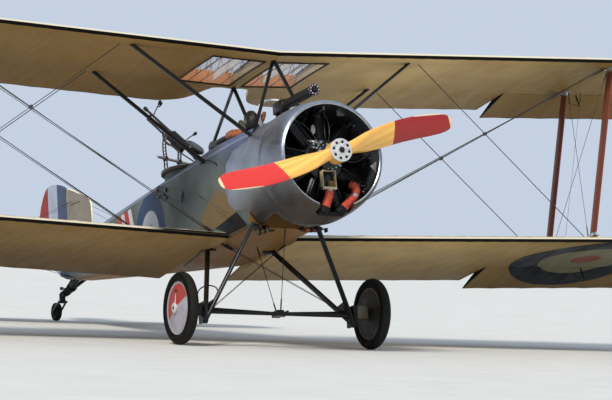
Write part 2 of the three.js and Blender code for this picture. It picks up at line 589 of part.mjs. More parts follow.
const FIN = [
  [5905, 400], [5905, 690], [5913, 835], [5950, 905], [6020, 958], [6260, 1050], [6500, 1144],
  [RUDDER_HINGE, 1172], [RUDDER_HINGE, 400],
];
const RUDDER = [
  [RUDDER_HINGE, 190], [6654, 190], [6848, 262], [6925, 315], [7150, 436], [7300, 586], [7388, 780],
  [7419, 950], [7422, 1050], [7368, 1150], [7292, 1236], [7226, 1286], [7166, 1311], [7096, 1318],
  [6990, 1311], [6868, 1287], [6760, 1252], [6680, 1219], [RUDDER_HINGE, 1172],
];
const FIN_PLAN = [
  [0, 5890], [8, 5900], [14, 5960], [14.5, RUDDER_HINGE], [-14.5, RUDDER_HINGE], [-14, 5960], [-8, 5900],
];
const RUDDER_PLAN = [[14.4, RUDDER_HINGE - 1], [5, 7430], [-5, 7430], [-14.4, RUDDER_HINGE - 1]];
const RUDDER_NOSE = 16;
const FIN_FOOT = TAIL_Z + 24;
const rudderBlocks = [225, 420, 700, 1060].map((z) => box(-60, 60, 6400, RUDDER_HINGE, z - 20, z + 20));
const rudderRoom = noseRoom(v(0, RUDDER_HINGE, 0), v(0, RUDDER_HINGE, 1500), RUDDER_NOSE, rudderBlocks);
const fin = sideSlab(FIN, 40).intersect(planSlab(FIN_PLAN, 0, 1500)).subtract(rudderRoom).subtract(hullSleeve)
  .subtract(tailWhole.translate([0, 0, GAP])).intersect(box(-50, 50, 5800, 6700, FIN_FOOT, 1500));
const rudder = sideSlab(RUDDER, 40).intersect(planSlab(RUDDER_PLAN, 0, 1500))
  .add(rod(v(0, RUDDER_HINGE, 190), v(0, RUDDER_HINGE, 1172), RUDDER_NOSE, HINGE_SIDES));
const sternPost = box(-14, 14, STERN_Y + GAP, RUDDER_HINGE - 1, 165, FIN_FOOT - 6).subtract(rudderRoom)
  .subtract(tailWhole.translate([0, 0, -GAP])).subtract(tailWhole.translate([0, 0, GAP]));

// Front gun on the centreline
const frontGun = join([
  rod(v(0, 464, 679), v(0, 1090, 692), 47, 18), rod(v(0, 452, 679), v(0, 480, 679), 22, 12),
  box(-42, 42, 1080, 1290, 636, 752), box(-12, 12, 1285, 1325, 668, 738),
  box(-34, 34, 1100, 1145, 500, 650), box(-30, 30, 1215, 1255, 500, 650),
]).subtract(bodyKeepOut);

// Windscreen hoop, leaning back to its top
const HOOP = [
  { x: 182, y: 1240, z: 480 }, { x: 184, y: 1266, z: 600 },
  { x: 170, y: 1296, z: 700 }, { x: 112, y: 1318, z: 772 },
];
const hoopSide = HOOP.map(({ x, y, z }) => v(x, y, z));
const hoopPath = [...hoopSide, v(0, 1325, 796), ...HOOP.slice().reverse().map(({ x, y, z }) => v(-x, y, z))];
const windscreen = tube(hoopPath, 10, 20, 6).subtract(bodyKeepOut);

// Padded rim round the pilot's opening, clear of the rear centre struts
const RIM = { radius: 26, out: 13, up: 22 };
const rimPath = ellipse(0, SEAT_Y, PILOT_OPENING.x + RIM.out, PILOT_OPENING.y + RIM.out, 28).map(([x, y]) => {
  const row = hullAt(y);
  return v(x, y, row.shoulder + (row.crest - row.shoulder) * Math.sqrt(1 - (x / row.half) ** 2) + RIM.up);
});
const legRoom = bothSides(centreLeg(FEET[1], 70, 40));
const coaming = tube(rimPath, RIM.radius, 28, 8, true).subtract(bodyKeepOut).subtract(legRoom);

// Cockpit furniture
const pilotSeat = join([
  box(-200, 200, 2010, 2380, -30, 0), box(-200, 200, 2350, 2380, -30, 360),
  box(-200, -175, 2060, 2380, -30, 150), box(175, 200, 2060, 2380, -30, 150),
  box(-170, -140, 2060, 2350, -440, -28), box(140, 170, 2060, 2350, -440, -28),
]).intersect(hullFit);
const instrumentPanel = box(-400, 400, 1420, 1440, 180, 425).intersect(hullFit);
const STOOL = { y: GUNNER_Y + 60, top: -40, radius: 170 };
const gunnerSeat = join([
  rod(v(0, STOOL.y, STOOL.top - 40), v(0, STOOL.y, STOOL.top), STOOL.radius, 24),
  rod(v(0, STOOL.y, -300), v(0, STOOL.y, STOOL.top - 30), 30, 12),
  box(-400, 400, STOOL.y - 30, STOOL.y + 30, STOOL.top - 60, STOOL.top - 38),
]).intersect(hullFit);

// Gun ring with its bow, and the gun hung between the bow's heads
const MOUNT = { out: 300, low: 722, pivot: 1006, turn: 28, rise: 44.4, head: 44 };
const ringDisc = (radius, z0, z1) => planSlab(ellipse(0, GUNNER_Y, radius, radius, 32), z0, z1);
const mountAt = (x, z) => v(x, GUNNER_Y + MOUNT.out, z);
const BOW = [
  { x: 112, z: MOUNT.low }, { x: 120, z: 830 }, { x: 104, z: 930 }, { x: 52, z: MOUNT.pivot - 12 },
];
const bowSide = (s) => join([
  rod(mountAt(100 * s, RING.high - 10), mountAt(108 * s, MOUNT.low), 13, 8),
  tube(BOW.map(({ x, z }) => mountAt(x * s, z)), 12, 8, 8),
  rod(mountAt(MOUNT.head * s, MOUNT.pivot), mountAt((MOUNT.head + 12) * s, MOUNT.pivot), 24, 12),
]);
const ringPlate = ringDisc(RING.outer, RING.low + GAP, RING.high).subtract(ringDisc(RING.inner, 0, 900));
const crossTube = rod(mountAt(-228, MOUNT.low), mountAt(228, MOUNT.low), 14, 8);
const gunRing = join([ringPlate, crossTube, bowSide(1), bowSide(-1)]);
const gunAt = (x, along, up) => v(x, GUNNER_Y + MOUNT.out + along, MOUNT.pivot + up);
const levelGun = join([
  rod(gunAt(-MOUNT.head + GAP, 0, 0), gunAt(MOUNT.head - GAP, 0, 0), 9, 8),
  box(-24, 24, GUNNER_Y + MOUNT.out - 420, GUNNER_Y + MOUNT.out - 20, MOUNT.pivot - 34, MOUNT.pivot + 34),
  rod(gunAt(0, -40, 0), gunAt(0, 443, 0), 15, 10), rod(gunAt(0, 400, 0), gunAt(0, 448, 0), 22, 12),
  rod(gunAt(0, -180, -70), gunAt(0, 350, -70), 13, 10),
  box(-10, 10, GUNNER_Y + MOUNT.out - 190, GUNNER_Y + MOUNT.out - 165, MOUNT.pivot - 76, MOUNT.pivot - 20),
  box(-9, 9, GUNNER_Y + MOUNT.out + 320, GUNNER_Y + MOUNT.out + 344, MOUNT.pivot - 76, MOUNT.pivot),
  rod(gunAt(0, -350, 30), gunAt(0, -350, 96), 105, 24),
  box(-12, 12, GUNNER_Y + MOUNT.out - 520, GUNNER_Y + MOUNT.out - 410, MOUNT.pivot - 44, MOUNT.pivot + 8),
]);
const ringTurn = (solid) => turnAbout(solid, v(0, GUNNER_Y, 0), v(0, 0, 1), MOUNT.turn);
const rearGun = ringTurn(turnAbout(levelGun, gunAt(0, 0, 0), v(1, 0, 0), MOUNT.rise));

const partsList = [];
const add = (name, solid, color, opacity = 1) => partsList.push({ name, solid, color, opacity });
const LINEN = 0xd8c7a0;
const BLACK = 0x1c1c1c;
const WOOD = 0x6b4a2e;
const RUBBER = 0x141414;
const METAL = 0x9d9d9b;

add('fuselage', fuselage, 0x6d6f62);
add('nose_fairing', noseFairing, METAL);
add('cowling', cowling, METAL);
add('engine', engine, BLACK);
add('propeller', propeller, 0xc9923a);
add('hub_plate', hubPlate, 0xd8d8d4);
add('cooler', cooler, 0xcfc5a8);
add('hose_port', hosePort, 0xb8402a);
add('hose_starboard', hoseStarboard, 0xb8402a);
[[1, 'port'], [-1, 'starboard']].forEach(([side, label]) => {
  const place = (solid) => (side > 0 ? solid : mirrored(solid));
  add(`upper_wing_${label}`, place(upperWing), LINEN);
  add(`clear_panel_${label}`, place(clearPanel), 0xc98d4e, 0.5);
  add(`lower_wing_${label}`, place(lower.fixed), LINEN);
  add(`upper_aileron_${label}`, place(upper.moving), LINEN);
  add(`lower_aileron_${label}`, place(lower.moving), LINEN);
  FEET.forEach((foot) => {
    add(`${foot.name}_wing_strut_${label}`, place(betweenWings(foot.back)), 0x8e4630);
    add(`outer_${foot.name}_strut_${label}`, place(outerStrut(foot)), BLACK);
    add(`${foot.name}_wires_${label}`, place(spanWires(foot.back)), 0x8a8a86);
  });
  add(`gear_vee_${label}`, place(gearVee), BLACK);
  add(`wheel_${label}`, place(wheel), 0xd8d2c4);
  add(`tyre_${label}`, place(tyre), RUBBER);
  add(`elevator_${label}`, place(elevator), LINEN);
});
FEET.forEach((foot) => add(`centre_${foot.name}_vee`, centreVee(foot), BLACK));
add('axle', axle, BLACK);
add('tail_bracket', tailBracket, BLACK);
add('tail_fork', tailFork, BLACK);
add('tail_wheel', tailWheel, RUBBER);
add('tailplane', tailplane, LINEN);
add('fin', fin, LINEN);
add('rudder', rudder, 0xd9d5cc);
add('stern_post', sternPost, WOOD);
add('front_gun', frontGun, BLACK);
add('windscreen', windscreen, 0xd8d8d4);
add('coaming', coaming, 0x2a1d16);
add('pilot_seat', pilotSeat, WOOD);
add('instrument_panel', instrumentPanel, WOOD);
add('gunner_seat', gunnerSeat, WOOD);
add('gun_ring', ringTurn(gunRing), 0x3a2a20);
add('rear_gun', rearGun, BLACK);

const rig = new THREE.Group();
rig.position.set(0, CENTRE_SHIFT, HUB_HEIGHT);
rig.rotation.x = -GROUND_ANGLE * RAD;
partsList.forEach(({ name, solid, color, opacity }) => {
  const material = new THREE.MeshStandardMaterial({
    color, roughness: 0.6, metalness: 0.1, opacity, transparent: opacity < 1,
  });
  const mesh = new THREE.Mesh(toGeometry(solid), material);
  mesh.name = name;
  rig.add(mesh);
});
const group = new THREE.Group();
group.add(rig);

export default group;
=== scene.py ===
from math import atan2, ceil, cos, pi, radians, sin, sqrt, tan

import bpy
from mathutils import Matrix, Quaternion, Vector


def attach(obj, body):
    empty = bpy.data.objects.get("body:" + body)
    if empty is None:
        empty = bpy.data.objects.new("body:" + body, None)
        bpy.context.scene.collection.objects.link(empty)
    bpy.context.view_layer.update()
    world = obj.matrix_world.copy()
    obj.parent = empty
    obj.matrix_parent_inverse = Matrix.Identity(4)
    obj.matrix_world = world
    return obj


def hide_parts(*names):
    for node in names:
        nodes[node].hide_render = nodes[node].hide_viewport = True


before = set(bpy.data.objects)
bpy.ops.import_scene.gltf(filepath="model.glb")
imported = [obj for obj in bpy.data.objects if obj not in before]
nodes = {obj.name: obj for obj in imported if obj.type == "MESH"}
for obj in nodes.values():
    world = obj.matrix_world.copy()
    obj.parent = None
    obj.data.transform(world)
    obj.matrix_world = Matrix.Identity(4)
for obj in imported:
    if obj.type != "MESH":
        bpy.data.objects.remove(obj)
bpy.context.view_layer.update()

# Lengths are in metres. Pieces are modelled level, with the hub at the origin, x to port,
# y aft and z up, and then tipped nose up on to the wheels as one machine.
stance = {"angle": 13.4, "shift": -3.6983, "hubHeight": 1.816}
tip = Matrix.Translation((0, stance["shift"], stance["hubHeight"]))
tip = tip @ Matrix.Rotation(radians(-stance["angle"]), 4, "X")
levelShift = tip.inverted().translation

# Camera and light
camera = {
    "place": (-12.329, -28.803, 1.045), "aim": (-0.268, -3.569, 1.357), "roll": 2.458, "lens": 185.09,
    "sensor": 36, "farthest": 500,
}
bpy.ops.object.select_all(action="DESELECT")
bpy.ops.object.camera_add(location=camera["place"])
view = bpy.context.object
view.name = "photoCamera"
view.rotation_mode = "QUATERNION"
aimLine = Vector(camera["aim"]) - view.location
view.rotation_quaternion = aimLine.to_track_quat("-Z", "Y") @ Quaternion((0, 0, 1), radians(camera["roll"]))
view.data.lens = camera["lens"]
view.data.sensor_width = camera["sensor"]
view.data.clip_end = camera["farthest"]
bpy.context.scene.camera = view

light = {
    "sky": (0.70, 0.80, 0.95), "skyStrength": 0.80, "sun": 3.1, "sunColour": (1.0, 0.95, 0.86),
    "sunSpread": 14, "sunTurn": (38, -24, -20),
}
world = bpy.data.worlds.new("studio")
bpy.context.scene.world = world
world.use_nodes = True
background = world.node_tree.nodes["Background"].inputs
background["Color"].default_value = (*light["sky"], 1)
background["Strength"].default_value = light["skyStrength"]
bpy.ops.object.light_add(type="SUN", rotation=[radians(a) for a in light["sunTurn"]])
sun = bpy.context.object
sun.name = "softSun"
sun.data.energy = light["sun"]
sun.data.color = light["sunColour"]
sun.data.angle = radians(light["sunSpread"])
bpy.context.scene.view_settings.view_transform = "Standard"


# Small tools for modelling

def v(x, y, z):
    return Vector((x, y, z))


def pick(piece):
    bpy.ops.object.select_all(action="DESELECT")
    piece.select_set(True)
    bpy.context.view_layer.objects.active = piece


def edit(piece):
    pick(piece)
    bpy.ops.object.mode_set(mode="EDIT")
    bpy.ops.mesh.select_all(action="SELECT")


def closeUp(piece, merge=1e-5):
    edit(piece)
    bpy.ops.mesh.remove_doubles(threshold=merge)
    bpy.ops.mesh.normals_make_consistent(inside=False)
    bpy.ops.object.mode_set(mode="OBJECT")
    return piece


def useModifier(piece, kind, **settings):
    pick(piece)
    bpy.ops.object.modifier_add(type=kind)
    modifier = piece.modifiers[-1]
    for key, value in settings.items():
        setattr(modifier, key, value)
    bpy.ops.object.modifier_apply(modifier=modifier.name)
    return piece


# Which point of the first circle a vertex is, counted from its top
def stationOf(vertex, sides):
    return round((atan2(vertex.co.y, vertex.co.x) - pi / 2) / (2 * pi / sides)) % sides


# A skin drawn ring by ring from a circle, each vertex then put in its place on its ring
def skin(name, rings, ends=True, marks=None):
    sides = len(rings[0])
    bpy.ops.object.select_all(action="DESELECT")
    bpy.ops.mesh.primitive_circle_add(vertices=sides, radius=1)
    piece = bpy.context.object
    piece.name = name
    bpy.ops.object.mode_set(mode="EDIT")
    bpy.ops.mesh.select_all(action="SELECT")
    step = {"value": (0, 0, 1)}
    if ends:
        bpy.ops.mesh.edge_face_add()
    extrude = bpy.ops.mesh.extrude_region_move if ends else bpy.ops.mesh.extrude_edges_move
    for _ in rings[1:]:
        extrude(TRANSFORM_OT_translate=step)
    bpy.ops.object.mode_set(mode="OBJECT")
    fields = {key: piece.data.attributes.new(key, "FLOAT", "POINT") for key in (marks[0][0] if marks else {})}
    for vertex in piece.data.vertices:
        ring = round(vertex.co.z)
        station = stationOf(vertex, sides)
        vertex.co = rings[ring][station]
        for key, field in fields.items():
            field.data[vertex.index].value = marks[ring][station][key]
    return closeUp(piece)


def angles(count, start=0.0):
    return [2 * pi * (k + start) / count for k in range(count)]


# A round skin from rows of place along a line and radius; the two sides say which way round it goes
def lathe(name, rows, sides=64, centre=v(0, 0, 0), line=v(0, 1, 0), one=v(1, 0, 0), other=v(0, 0, 1),
          ends=True):
    def ring(h, r):
        return [centre + line * h + one * r * cos(a) + other * r * sin(a) for a in angles(sides)]

    return skin(name, [ring(h, r) for h, r in rows], ends)


def uprightLathe(name, rows, sides, centre=v(0, 0, 0), ends=True):
    return lathe(name, rows, sides, centre, line=v(0, 0, 1), other=v(0, 1, 0), ends=ends)


# Joins the two open ends of a skin, so that it closes on itself
def joinEnds(piece):
    edit(piece)
    bpy.ops.mesh.select_all(action="DESELECT")
    bpy.ops.mesh.select_mode(type="EDGE")
    bpy.ops.mesh.select_non_manifold(extend=False)
    bpy.ops.mesh.bridge_edge_loops()
    bpy.ops.mesh.select_mode(type="VERT")
    bpy.ops.object.mode_set(mode="OBJECT")
    return closeUp(piece)


# A closed outline turned all the way round an axis
def spun(name, outline, centre, axis, steps):
    bpy.ops.object.select_all(action="DESELECT")
    bpy.ops.mesh.primitive_circle_add(vertices=len(outline), radius=1)
    piece = bpy.context.object
    piece.name = name
    for vertex in piece.data.vertices:
        vertex.co = outline[stationOf(vertex, len(outline))]
    edit(piece)
    bpy.ops.mesh.spin(steps=steps, angle=2 * pi, center=centre, axis=axis)
    bpy.ops.object.mode_set(mode="OBJECT")
    return closeUp(piece, 1e-4)


def across(along):
    side = along.cross(v(0, 0, 1) if abs(along.z) < 0.9 else v(0, 1, 0)).normalized()
    return side, side.cross(along).normalized()


# A round bar through the points; radii may change from point to point
def bar(name, points, radius, sides=12):
    points = [Vector(p) for p in points]
    radii = radius if isinstance(radius, (list, tuple)) else [radius] * len(points)
    side, _ = across((points[1] - points[0]).normalized())
    rings = []
    for k, point in enumerate(points):
        before = points[max(k - 1, 0)]
        after = points[min(k + 1, len(points) - 1)]
        along = (after - before).normalized()
        side = (side - along * side.dot(along)).normalized()
        up = along.cross(side)
        rings.append([point + radii[k] * (cos(a) * side + sin(a) * up) for a in angles(sides)])
    return skin(name, rings)


def middled(a, b):
    a, b = Vector(a), Vector(b)
    return [a, a.lerp(b, 0.5), b]


# Points of a smooth curve through a few guide points
def curveThrough(guide, steps=5):
    guide = [Vector(p) for p in guide]
    padded = [guide[0], *guide, guide[-1]]
    points = []
    for a, b, c, d in zip(padded, padded[1:], padded[2:], padded[3:]):
        for t in [i / steps for i in range(steps)]:
            points.append(0.5 * ((2 * b) + (c - a) * t + (2 * a - 5 * b + 4 * c - d) * t * t
                                 + (3 * b - a - 3 * c + d) * t ** 3))
    return points + [guide[-1]]


def block(name, low, high, bevel=0.003):
    bpy.ops.object.select_all(action="DESELECT")
    low, high = Vector(low), Vector(high)
    bpy.ops.mesh.primitive_cube_add(size=1, location=(low + high) / 2, scale=high - low)
    piece = bpy.context.object
    piece.name = name
    bpy.ops.object.transform_apply(location=True, rotation=True, scale=True)
    if bevel:
        edit(piece)
        bpy.ops.mesh.bevel(offset=bevel, segments=2, affect="EDGES")
        bpy.ops.object.mode_set(mode="OBJECT")
    return piece


def placed(piece, place):
    piece.matrix_world = place @ piece.matrix_world
    pick(piece)
    bpy.ops.object.transform_apply(location=True, rotation=True, scale=True)
    return piece


def copyOf(piece, name, place):
    pick(piece)
    bpy.ops.object.duplicate()
    twin = bpy.context.object
    twin.name = name
    return placed(twin, place)


def mirrorOf(piece, name):
    twin = copyOf(piece, name, Matrix.Scale(-1, 4, (1, 0, 0)))
    edit(twin)
    bpy.ops.mesh.normals_make_consistent(inside=False)
    bpy.ops.object.mode_set(mode="OBJECT")
    return twin


def turned(piece, centre, axis, angle):
    turn = Matrix.Rotation(radians(angle), 4, axis)
    return placed(piece, Matrix.Translation(centre) @ turn @ Matrix.Translation(-Vector(centre)))


def joined(name, pieces):
    bpy.ops.object.select_all(action="DESELECT")
    for piece in pieces:
        piece.select_set(True)
    bpy.context.view_layer.objects.active = pieces[0]
    if len(pieces) > 1:
        bpy.ops.object.join()
    pieces[0].name = name
    return pieces[0]


def cutAway(piece, cutter):
    useModifier(piece, "BOOLEAN", operation="DIFFERENCE", solver="EXACT", object=cutter)
    bpy.data.objects.remove(cutter)
    return piece


# Puts a level piece on the standing machine and hands it to its body
def settle(piece, material, body="airframe", stands=(), angle=35, tipped=True):
    pick(piece)
    if tipped:
        placed(piece, tip)
    bpy.ops.object.shade_smooth_by_angle(angle=radians(angle))
    if not piece.data.materials:
        piece.data.materials.append(material)
    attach(piece, body)
    if stands:
        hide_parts(*stands)
    return piece


# Settles a port piece and its mirror image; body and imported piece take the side's name
def settlePair(piece, name, material, body=None, stands=None, angle=35):
    twin = mirrorOf(piece, name + "Starboard")
    piece.name = name + "Port"
    for one, label in ((piece, "port"), (twin, "starboard")):
        replaced = (f"{stands}_{label}",) if stands else ()
        settle(one, material, f"{body}_{label}" if body else "airframe", replaced, angle)


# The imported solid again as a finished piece: corners merged, flat faces joined, edges softened
def refine(node, material, body="airframe", angle=30, bevel=0):
    pick(nodes[node])
    bpy.ops.object.duplicate()
    piece = bpy.context.object
    piece.name = node + "Finish"
    piece.parent = None
    for key in list(piece.keys()):
        del piece[key]
    piece.data.materials.clear()
    edit(piece)
    bpy.ops.mesh.remove_doubles(threshold=1e-5)
    bpy.ops.mesh.dissolve_limited(angle_limit=radians(0.5))
    bpy.ops.object.mode_set(mode="OBJECT")
    if bevel:
        useModifier(piece, "BEVEL", width=bevel, segments=2, limit_method="ANGLE", angle_limit=radians(40))
    return settle(piece, material, body, (node,), angle, tipped=False)


# Materials: each is a few nodes that read Object coordinates or the wing's own marks

board = {}  # the material being made: its node tree and its shader


def startMaterial(name, roughness=0.5, metallic=0.0, **sockets):
    material = bpy.data.materials.new(name)
    material.use_nodes = True
    board["tree"] = material.node_tree
    board["shader"] = material.node_tree.nodes["Principled BSDF"]
    sockets.update(Roughness=roughness, Metallic=metallic)
    for key, value in sockets.items():
        board["shader"].inputs[key.replace("_", " ")].default_value = value
    return material


def plug(socket, value):
    if isinstance(value, bpy.types.NodeSocket):
        board["tree"].links.new(value, socket)
    elif socket.type == "RGBA":
        socket.default_value = (*value, 1)
    else:
        socket.default_value = value


def add(kind, inputs=None, **settings):
    node = board["tree"].nodes.new("ShaderNode" + kind)
    for key, value in settings.items():
        setattr(node, key, value)
    for key, value in (inputs or {}).items():
        plug(node.inputs[key], value)
    return node


def sums(operation, a, b=0.0):
    return add("Math", {0: a, 1: b}, operation=operation).outputs[0]


def times(first, *others):
    for other in others:
        first = sums("MULTIPLY", first, other)
    return first


def plus(a, b):
    return sums("ADD", a, b)


def minus(a, b):
    return sums("SUBTRACT", a, b)


def absolute(a):
    return sums("ABSOLUTE", a)


# Distance from the nearest multiple of twice the step
def folded(a, step):
    return sums("PINGPONG", a, step)


def mixed(factor, a, b):
    return add("Mix", {0: factor, 6: a, 7: b}, data_type="RGBA").outputs[2]


# The level machine's own coordinates, from the standing one's
def levelPlace():
    source = add("TexCoord").outputs["Object"]
    tilt = (radians(stance["angle"]), 0, 0)
    return add("Mapping", {"Vector": source, "Location": levelShift, "Rotation": tilt}).outputs[0]


def parts(vector):
    return tuple(add("SeparateXYZ", {0: vector}).outputs)


def facing():
    return parts(add("NewGeometry").outputs["Normal"])


def cloud(vector, scale, detail=3.0, distortion=0.0, stretch=None):
    if stretch:
        vector = add("Mapping", {"Vector": vector, "Scale": stretch}).outputs[0]
    inputs = {"Vector": vector, "Scale": scale, "Detail": detail, "Distortion": distortion}
    return add("TexNoise", inputs).outputs[0]


def threads(vector, scale, direction, **inputs):
    return add("TexWave", {"Vector": vector, "Scale": scale, **inputs}, bands_direction=direction).outputs[1]


# From 0 to 1, or between two other values, as a value goes from low to high
def spread(value, low, high, outLow=0.0, outHigh=1.0):
    inputs = {"Value": value, "From Min": low, "From Max": high, "To Min": outLow, "To Max": outHigh}
    return add("MapRange", inputs).outputs[0]


# 1 past the limit, 0 before it, with a soft step
def past(value, limit, soft=0.003):
    return spread(value, limit - soft, limit + soft)


def bumped(height, strength=0.3, distance=0.002):
    inputs = {"Height": height, "Strength": strength, "Distance": distance}
    plug(board["shader"].inputs["Normal"], add("Bump", inputs).outputs[0])


def paint(colour, rough):
    plug(board["shader"].inputs["Base Color"], colour)
    plug(board["shader"].inputs["Roughness"], rough)


# 1 inside the radius, 0 outside
def inside(distance, radius, soft=0.004):
    return past(distance, radius, -soft)


def roundel(colour, distance, dye):
    for ring in ("blue", "white", "red"):
        colour = mixed(inside(distance, dye[ring + "Radius"]), colour, dye[ring])
    return colour


def distanceTo(a, b, centreA, centreB):
    da, db = minus(a, centreA), minus(b, centreB)
    return sums("SQRT", plus(times(da, da), times(db, db)))


def plainFinish(name, light, dark, roughness, metallic=0.0, grain=18.0, bump=0.1, stretch=None, **sockets):
    material = startMaterial(name, roughness, metallic, **sockets)
    place = levelPlace()
    broad = cloud(place, grain, 4.0, stretch=stretch)
    fine = cloud(place, grain * 9, 2.0, stretch=stretch)
    blotch = spread(broad, 0.32, 0.68)
    paint(mixed(blotch, light, dark), spread(fine, 0.3, 0.7, roughness * 0.8, roughness * 1.25))
    bumped(fine, bump, 0.001)
    return material


ribs = {"pitch": 0.37, "sag": 0.0035, "noseSag": 0.003, "stations": 4, "bow": 0.010}
spars = {"front": 0.175, "rear": 1.085}

# The underside colours are painted light and painted shade through the cloth. The rib colour is a painted
# shadow, and the tape colour also paints a highlight at the leading edge.
linenDye = {
    "light": (0.45, 0.37, 0.24), "dark": (0.34, 0.26, 0.155), "shine": (0.62, 0.52, 0.36),
    "tapeAndHighlight": (0.66, 0.60, 0.46), "starboardUnderPaintedShade": (0.36, 0.222, 0.074), "portUnderPaintedLight": (0.80, 0.56, 0.22),
    "tipUnderPaintedShade": (0.20, 0.128, 0.022), "underShade": (0.16, 0.082, 0.026), "edge": (0.006, 0.005, 0.004),
    "rib": (0.16, 0.085, 0.030), "blue": (0.004, 0.004, 0.003), "white": (0.145, 0.135, 0.066),
    "red": (0.165, 0.036, 0.002), "blueRadius": 0.79, "whiteRadius": 0.49, "redRadius": 0.16,
}


# Doped linen over ribs: weave, rib tapes, painted light and painted shade through the cloth on the
# undersides, painted shadows of ribs and spars underneath, a painted highlight along the top of the leading
# edge, painted edge and roundels
def wingLinen(name, middle, above=False):
    dye = linenDye
    material = startMaterial(name, 0.5, Specular_IOR_Level=0.07)
    place = levelPlace()
    x, _, _ = parts(place)
    back = add("Attribute", attribute_name="back").outputs["Fac"]
    under = add("Attribute", attribute_name="under").outputs["Fac"]
    edge = add("Attribute", attribute_name="edge").outputs["Fac"]
    age = spread(cloud(place, 1.6, 5.0), 0.35, 0.65)
    streak = spread(cloud(place, 5.0, 3.0, stretch=(3.0, 0.5, 1.0)), 0.4, 0.7)
    cloth = mixed(age, dye["light"], dye["dark"])
    cloth = mixed(times(streak, 0.35), cloth, dye["shine"])
    # Painted light through the cloth underneath: brighter and warmer to port, with painted shade towards the
    # tips, in blotches and towards the trailing edge
    lit = mixed(spread(x, -0.5, 0.8), dye["starboardUnderPaintedShade"], dye["portUnderPaintedLight"])
    lit = mixed(spread(absolute(x), 1.3, 3.5, 0.0, 0.94), lit, dye["tipUnderPaintedShade"])
    lit = mixed(times(age, 0.30), lit, dye["underShade"])
    lit = mixed(spread(back, 0.5, 1.7, 0.0, 0.42), lit, dye["underShade"])
    cloth = mixed(under, cloth, lit)
    along = sums("DIVIDE", absolute(x), ribs["pitch"])
    fromRib = times(folded(along, 0.5), ribs["pitch"])
    ribLine = spread(fromRib, 0.012, 0.009)
    cloth = mixed(times(ribLine, minus(1.0, under)), cloth, dye["tapeAndHighlight"])
    # Painted shadows of the ribs and spars on the undersides
    shade = times(ribLine, under, 0.10)
    for spar in spars.values():
        line = spread(absolute(minus(back, spar)), 0.034, 0.024)
        shade = sums("MAXIMUM", shade, times(line, under, 0.07))
    cloth = mixed(shade, cloth, dye["rib"])
    ring = distanceTo(absolute(x), back, *middle)
    marked = roundel(cloth, ring, dye)
    side = minus(1.0, under) if above else under
    cloth = mixed(sums("GREATER_THAN", side, 0.5), cloth, marked)
    flapEnd = times(spread(absolute(x), 3.006, 3.002),
                    spread(absolute(x), 2.984, 2.988), spread(back, 1.10, 1.14))
    cloth = mixed(sums("MAXIMUM", flapEnd, spread(back, 1.657, 1.662)), cloth, dye["edge"])
    # Painted highlight: a bright band on the top of the leading edge
    cream = times(spread(edge, 0.002, 0.005), spread(edge, 0.040, 0.034))
    cloth = mixed(cream, cloth, dye["tapeAndHighlight"])
    # Near the starboard root of the lower wing this highlight is painted black instead: painted shade
    if not above:
        root = times(spread(x, -1.20, -1.00), spread(x, -0.1, -0.2))
        cloth = mixed(times(cream, root), cloth, dye["edge"])
    band = times(spread(edge, 0.005, 0.002), spread(edge, -0.044, -0.040))
    cloth = mixed(band, cloth, dye["edge"])
    paint(cloth, spread(streak, 0.0, 1.0, 0.36, 0.52))
    weave = plus(threads(place, 160.0, "X"), threads(place, 160.0, "Y"))
    bumped(plus(times(weave, 0.12), times(ribLine, 0.8)), 0.35, 0.002)
    return material


bodyDye = {
    "light": (0.112, 0.134, 0.120), "dark": (0.072, 0.086, 0.077), "belly": (0.27, 0.132, 0.030),
    "front": (0.17, 0.088, 0.030), "deck": (0.24, 0.25, 0.36), "blue": (0.022, 0.041, 0.095),
    "white": (0.44, 0.45, 0.47), "red": (0.36, 0.030, 0.018), "middle": (3.65, 0.0), "blueRadius": 0.42,
    "whiteRadius": 0.25, "redRadius": 0.11, "paintedShadow": (0.005, 0.0045, 0.0035), "paintedBounceLight": (0.156, 0.106, 0.044),
    "lilac": (0.10, 0.13, 0.27),
}
sideBars = [(4.03, 4.13, "white"), (4.13, 4.25, "red"), (4.25, 4.35, "white"), (4.35, 4.47, "red")]
sidePatches = {  # straight-sided areas of painted bounce light and painted shadow low on the sides: corners, aft and up, in turn
    "paintedBounceLight": [(1.55, -0.235), (1.68, -0.04), (1.956, 0.083), (2.30, -0.074), (2.42, -0.198), (2.035, -0.283)],
    "paintedShadow": [(1.33, -0.40), (1.55, -0.23), (2.035, -0.283), (1.61, -0.444)],
}


# 1 inside a convex outline in the side view, whose corners run the same way round
def insideCorners(y, z, corners):
    centre = [sum(c[k] for c in corners) / len(corners) for k in (0, 1)]
    share = None
    for (ya, za), (yb, zb) in zip(corners, corners[1:] + corners[:1]):
        length = sqrt((yb - ya) ** 2 + (zb - za) ** 2)
        ny, nz = (zb - za) / length, (ya - yb) / length
        if (centre[0] - ya) * ny + (centre[1] - za) * nz < 0:
            ny, nz = -ny, -nz
        edge = past(plus(times(y, ny), times(z, nz)), ya * ny + za * nz, 0.004)
        share = edge if share is None else sums("MINIMUM", share, edge)
    return share
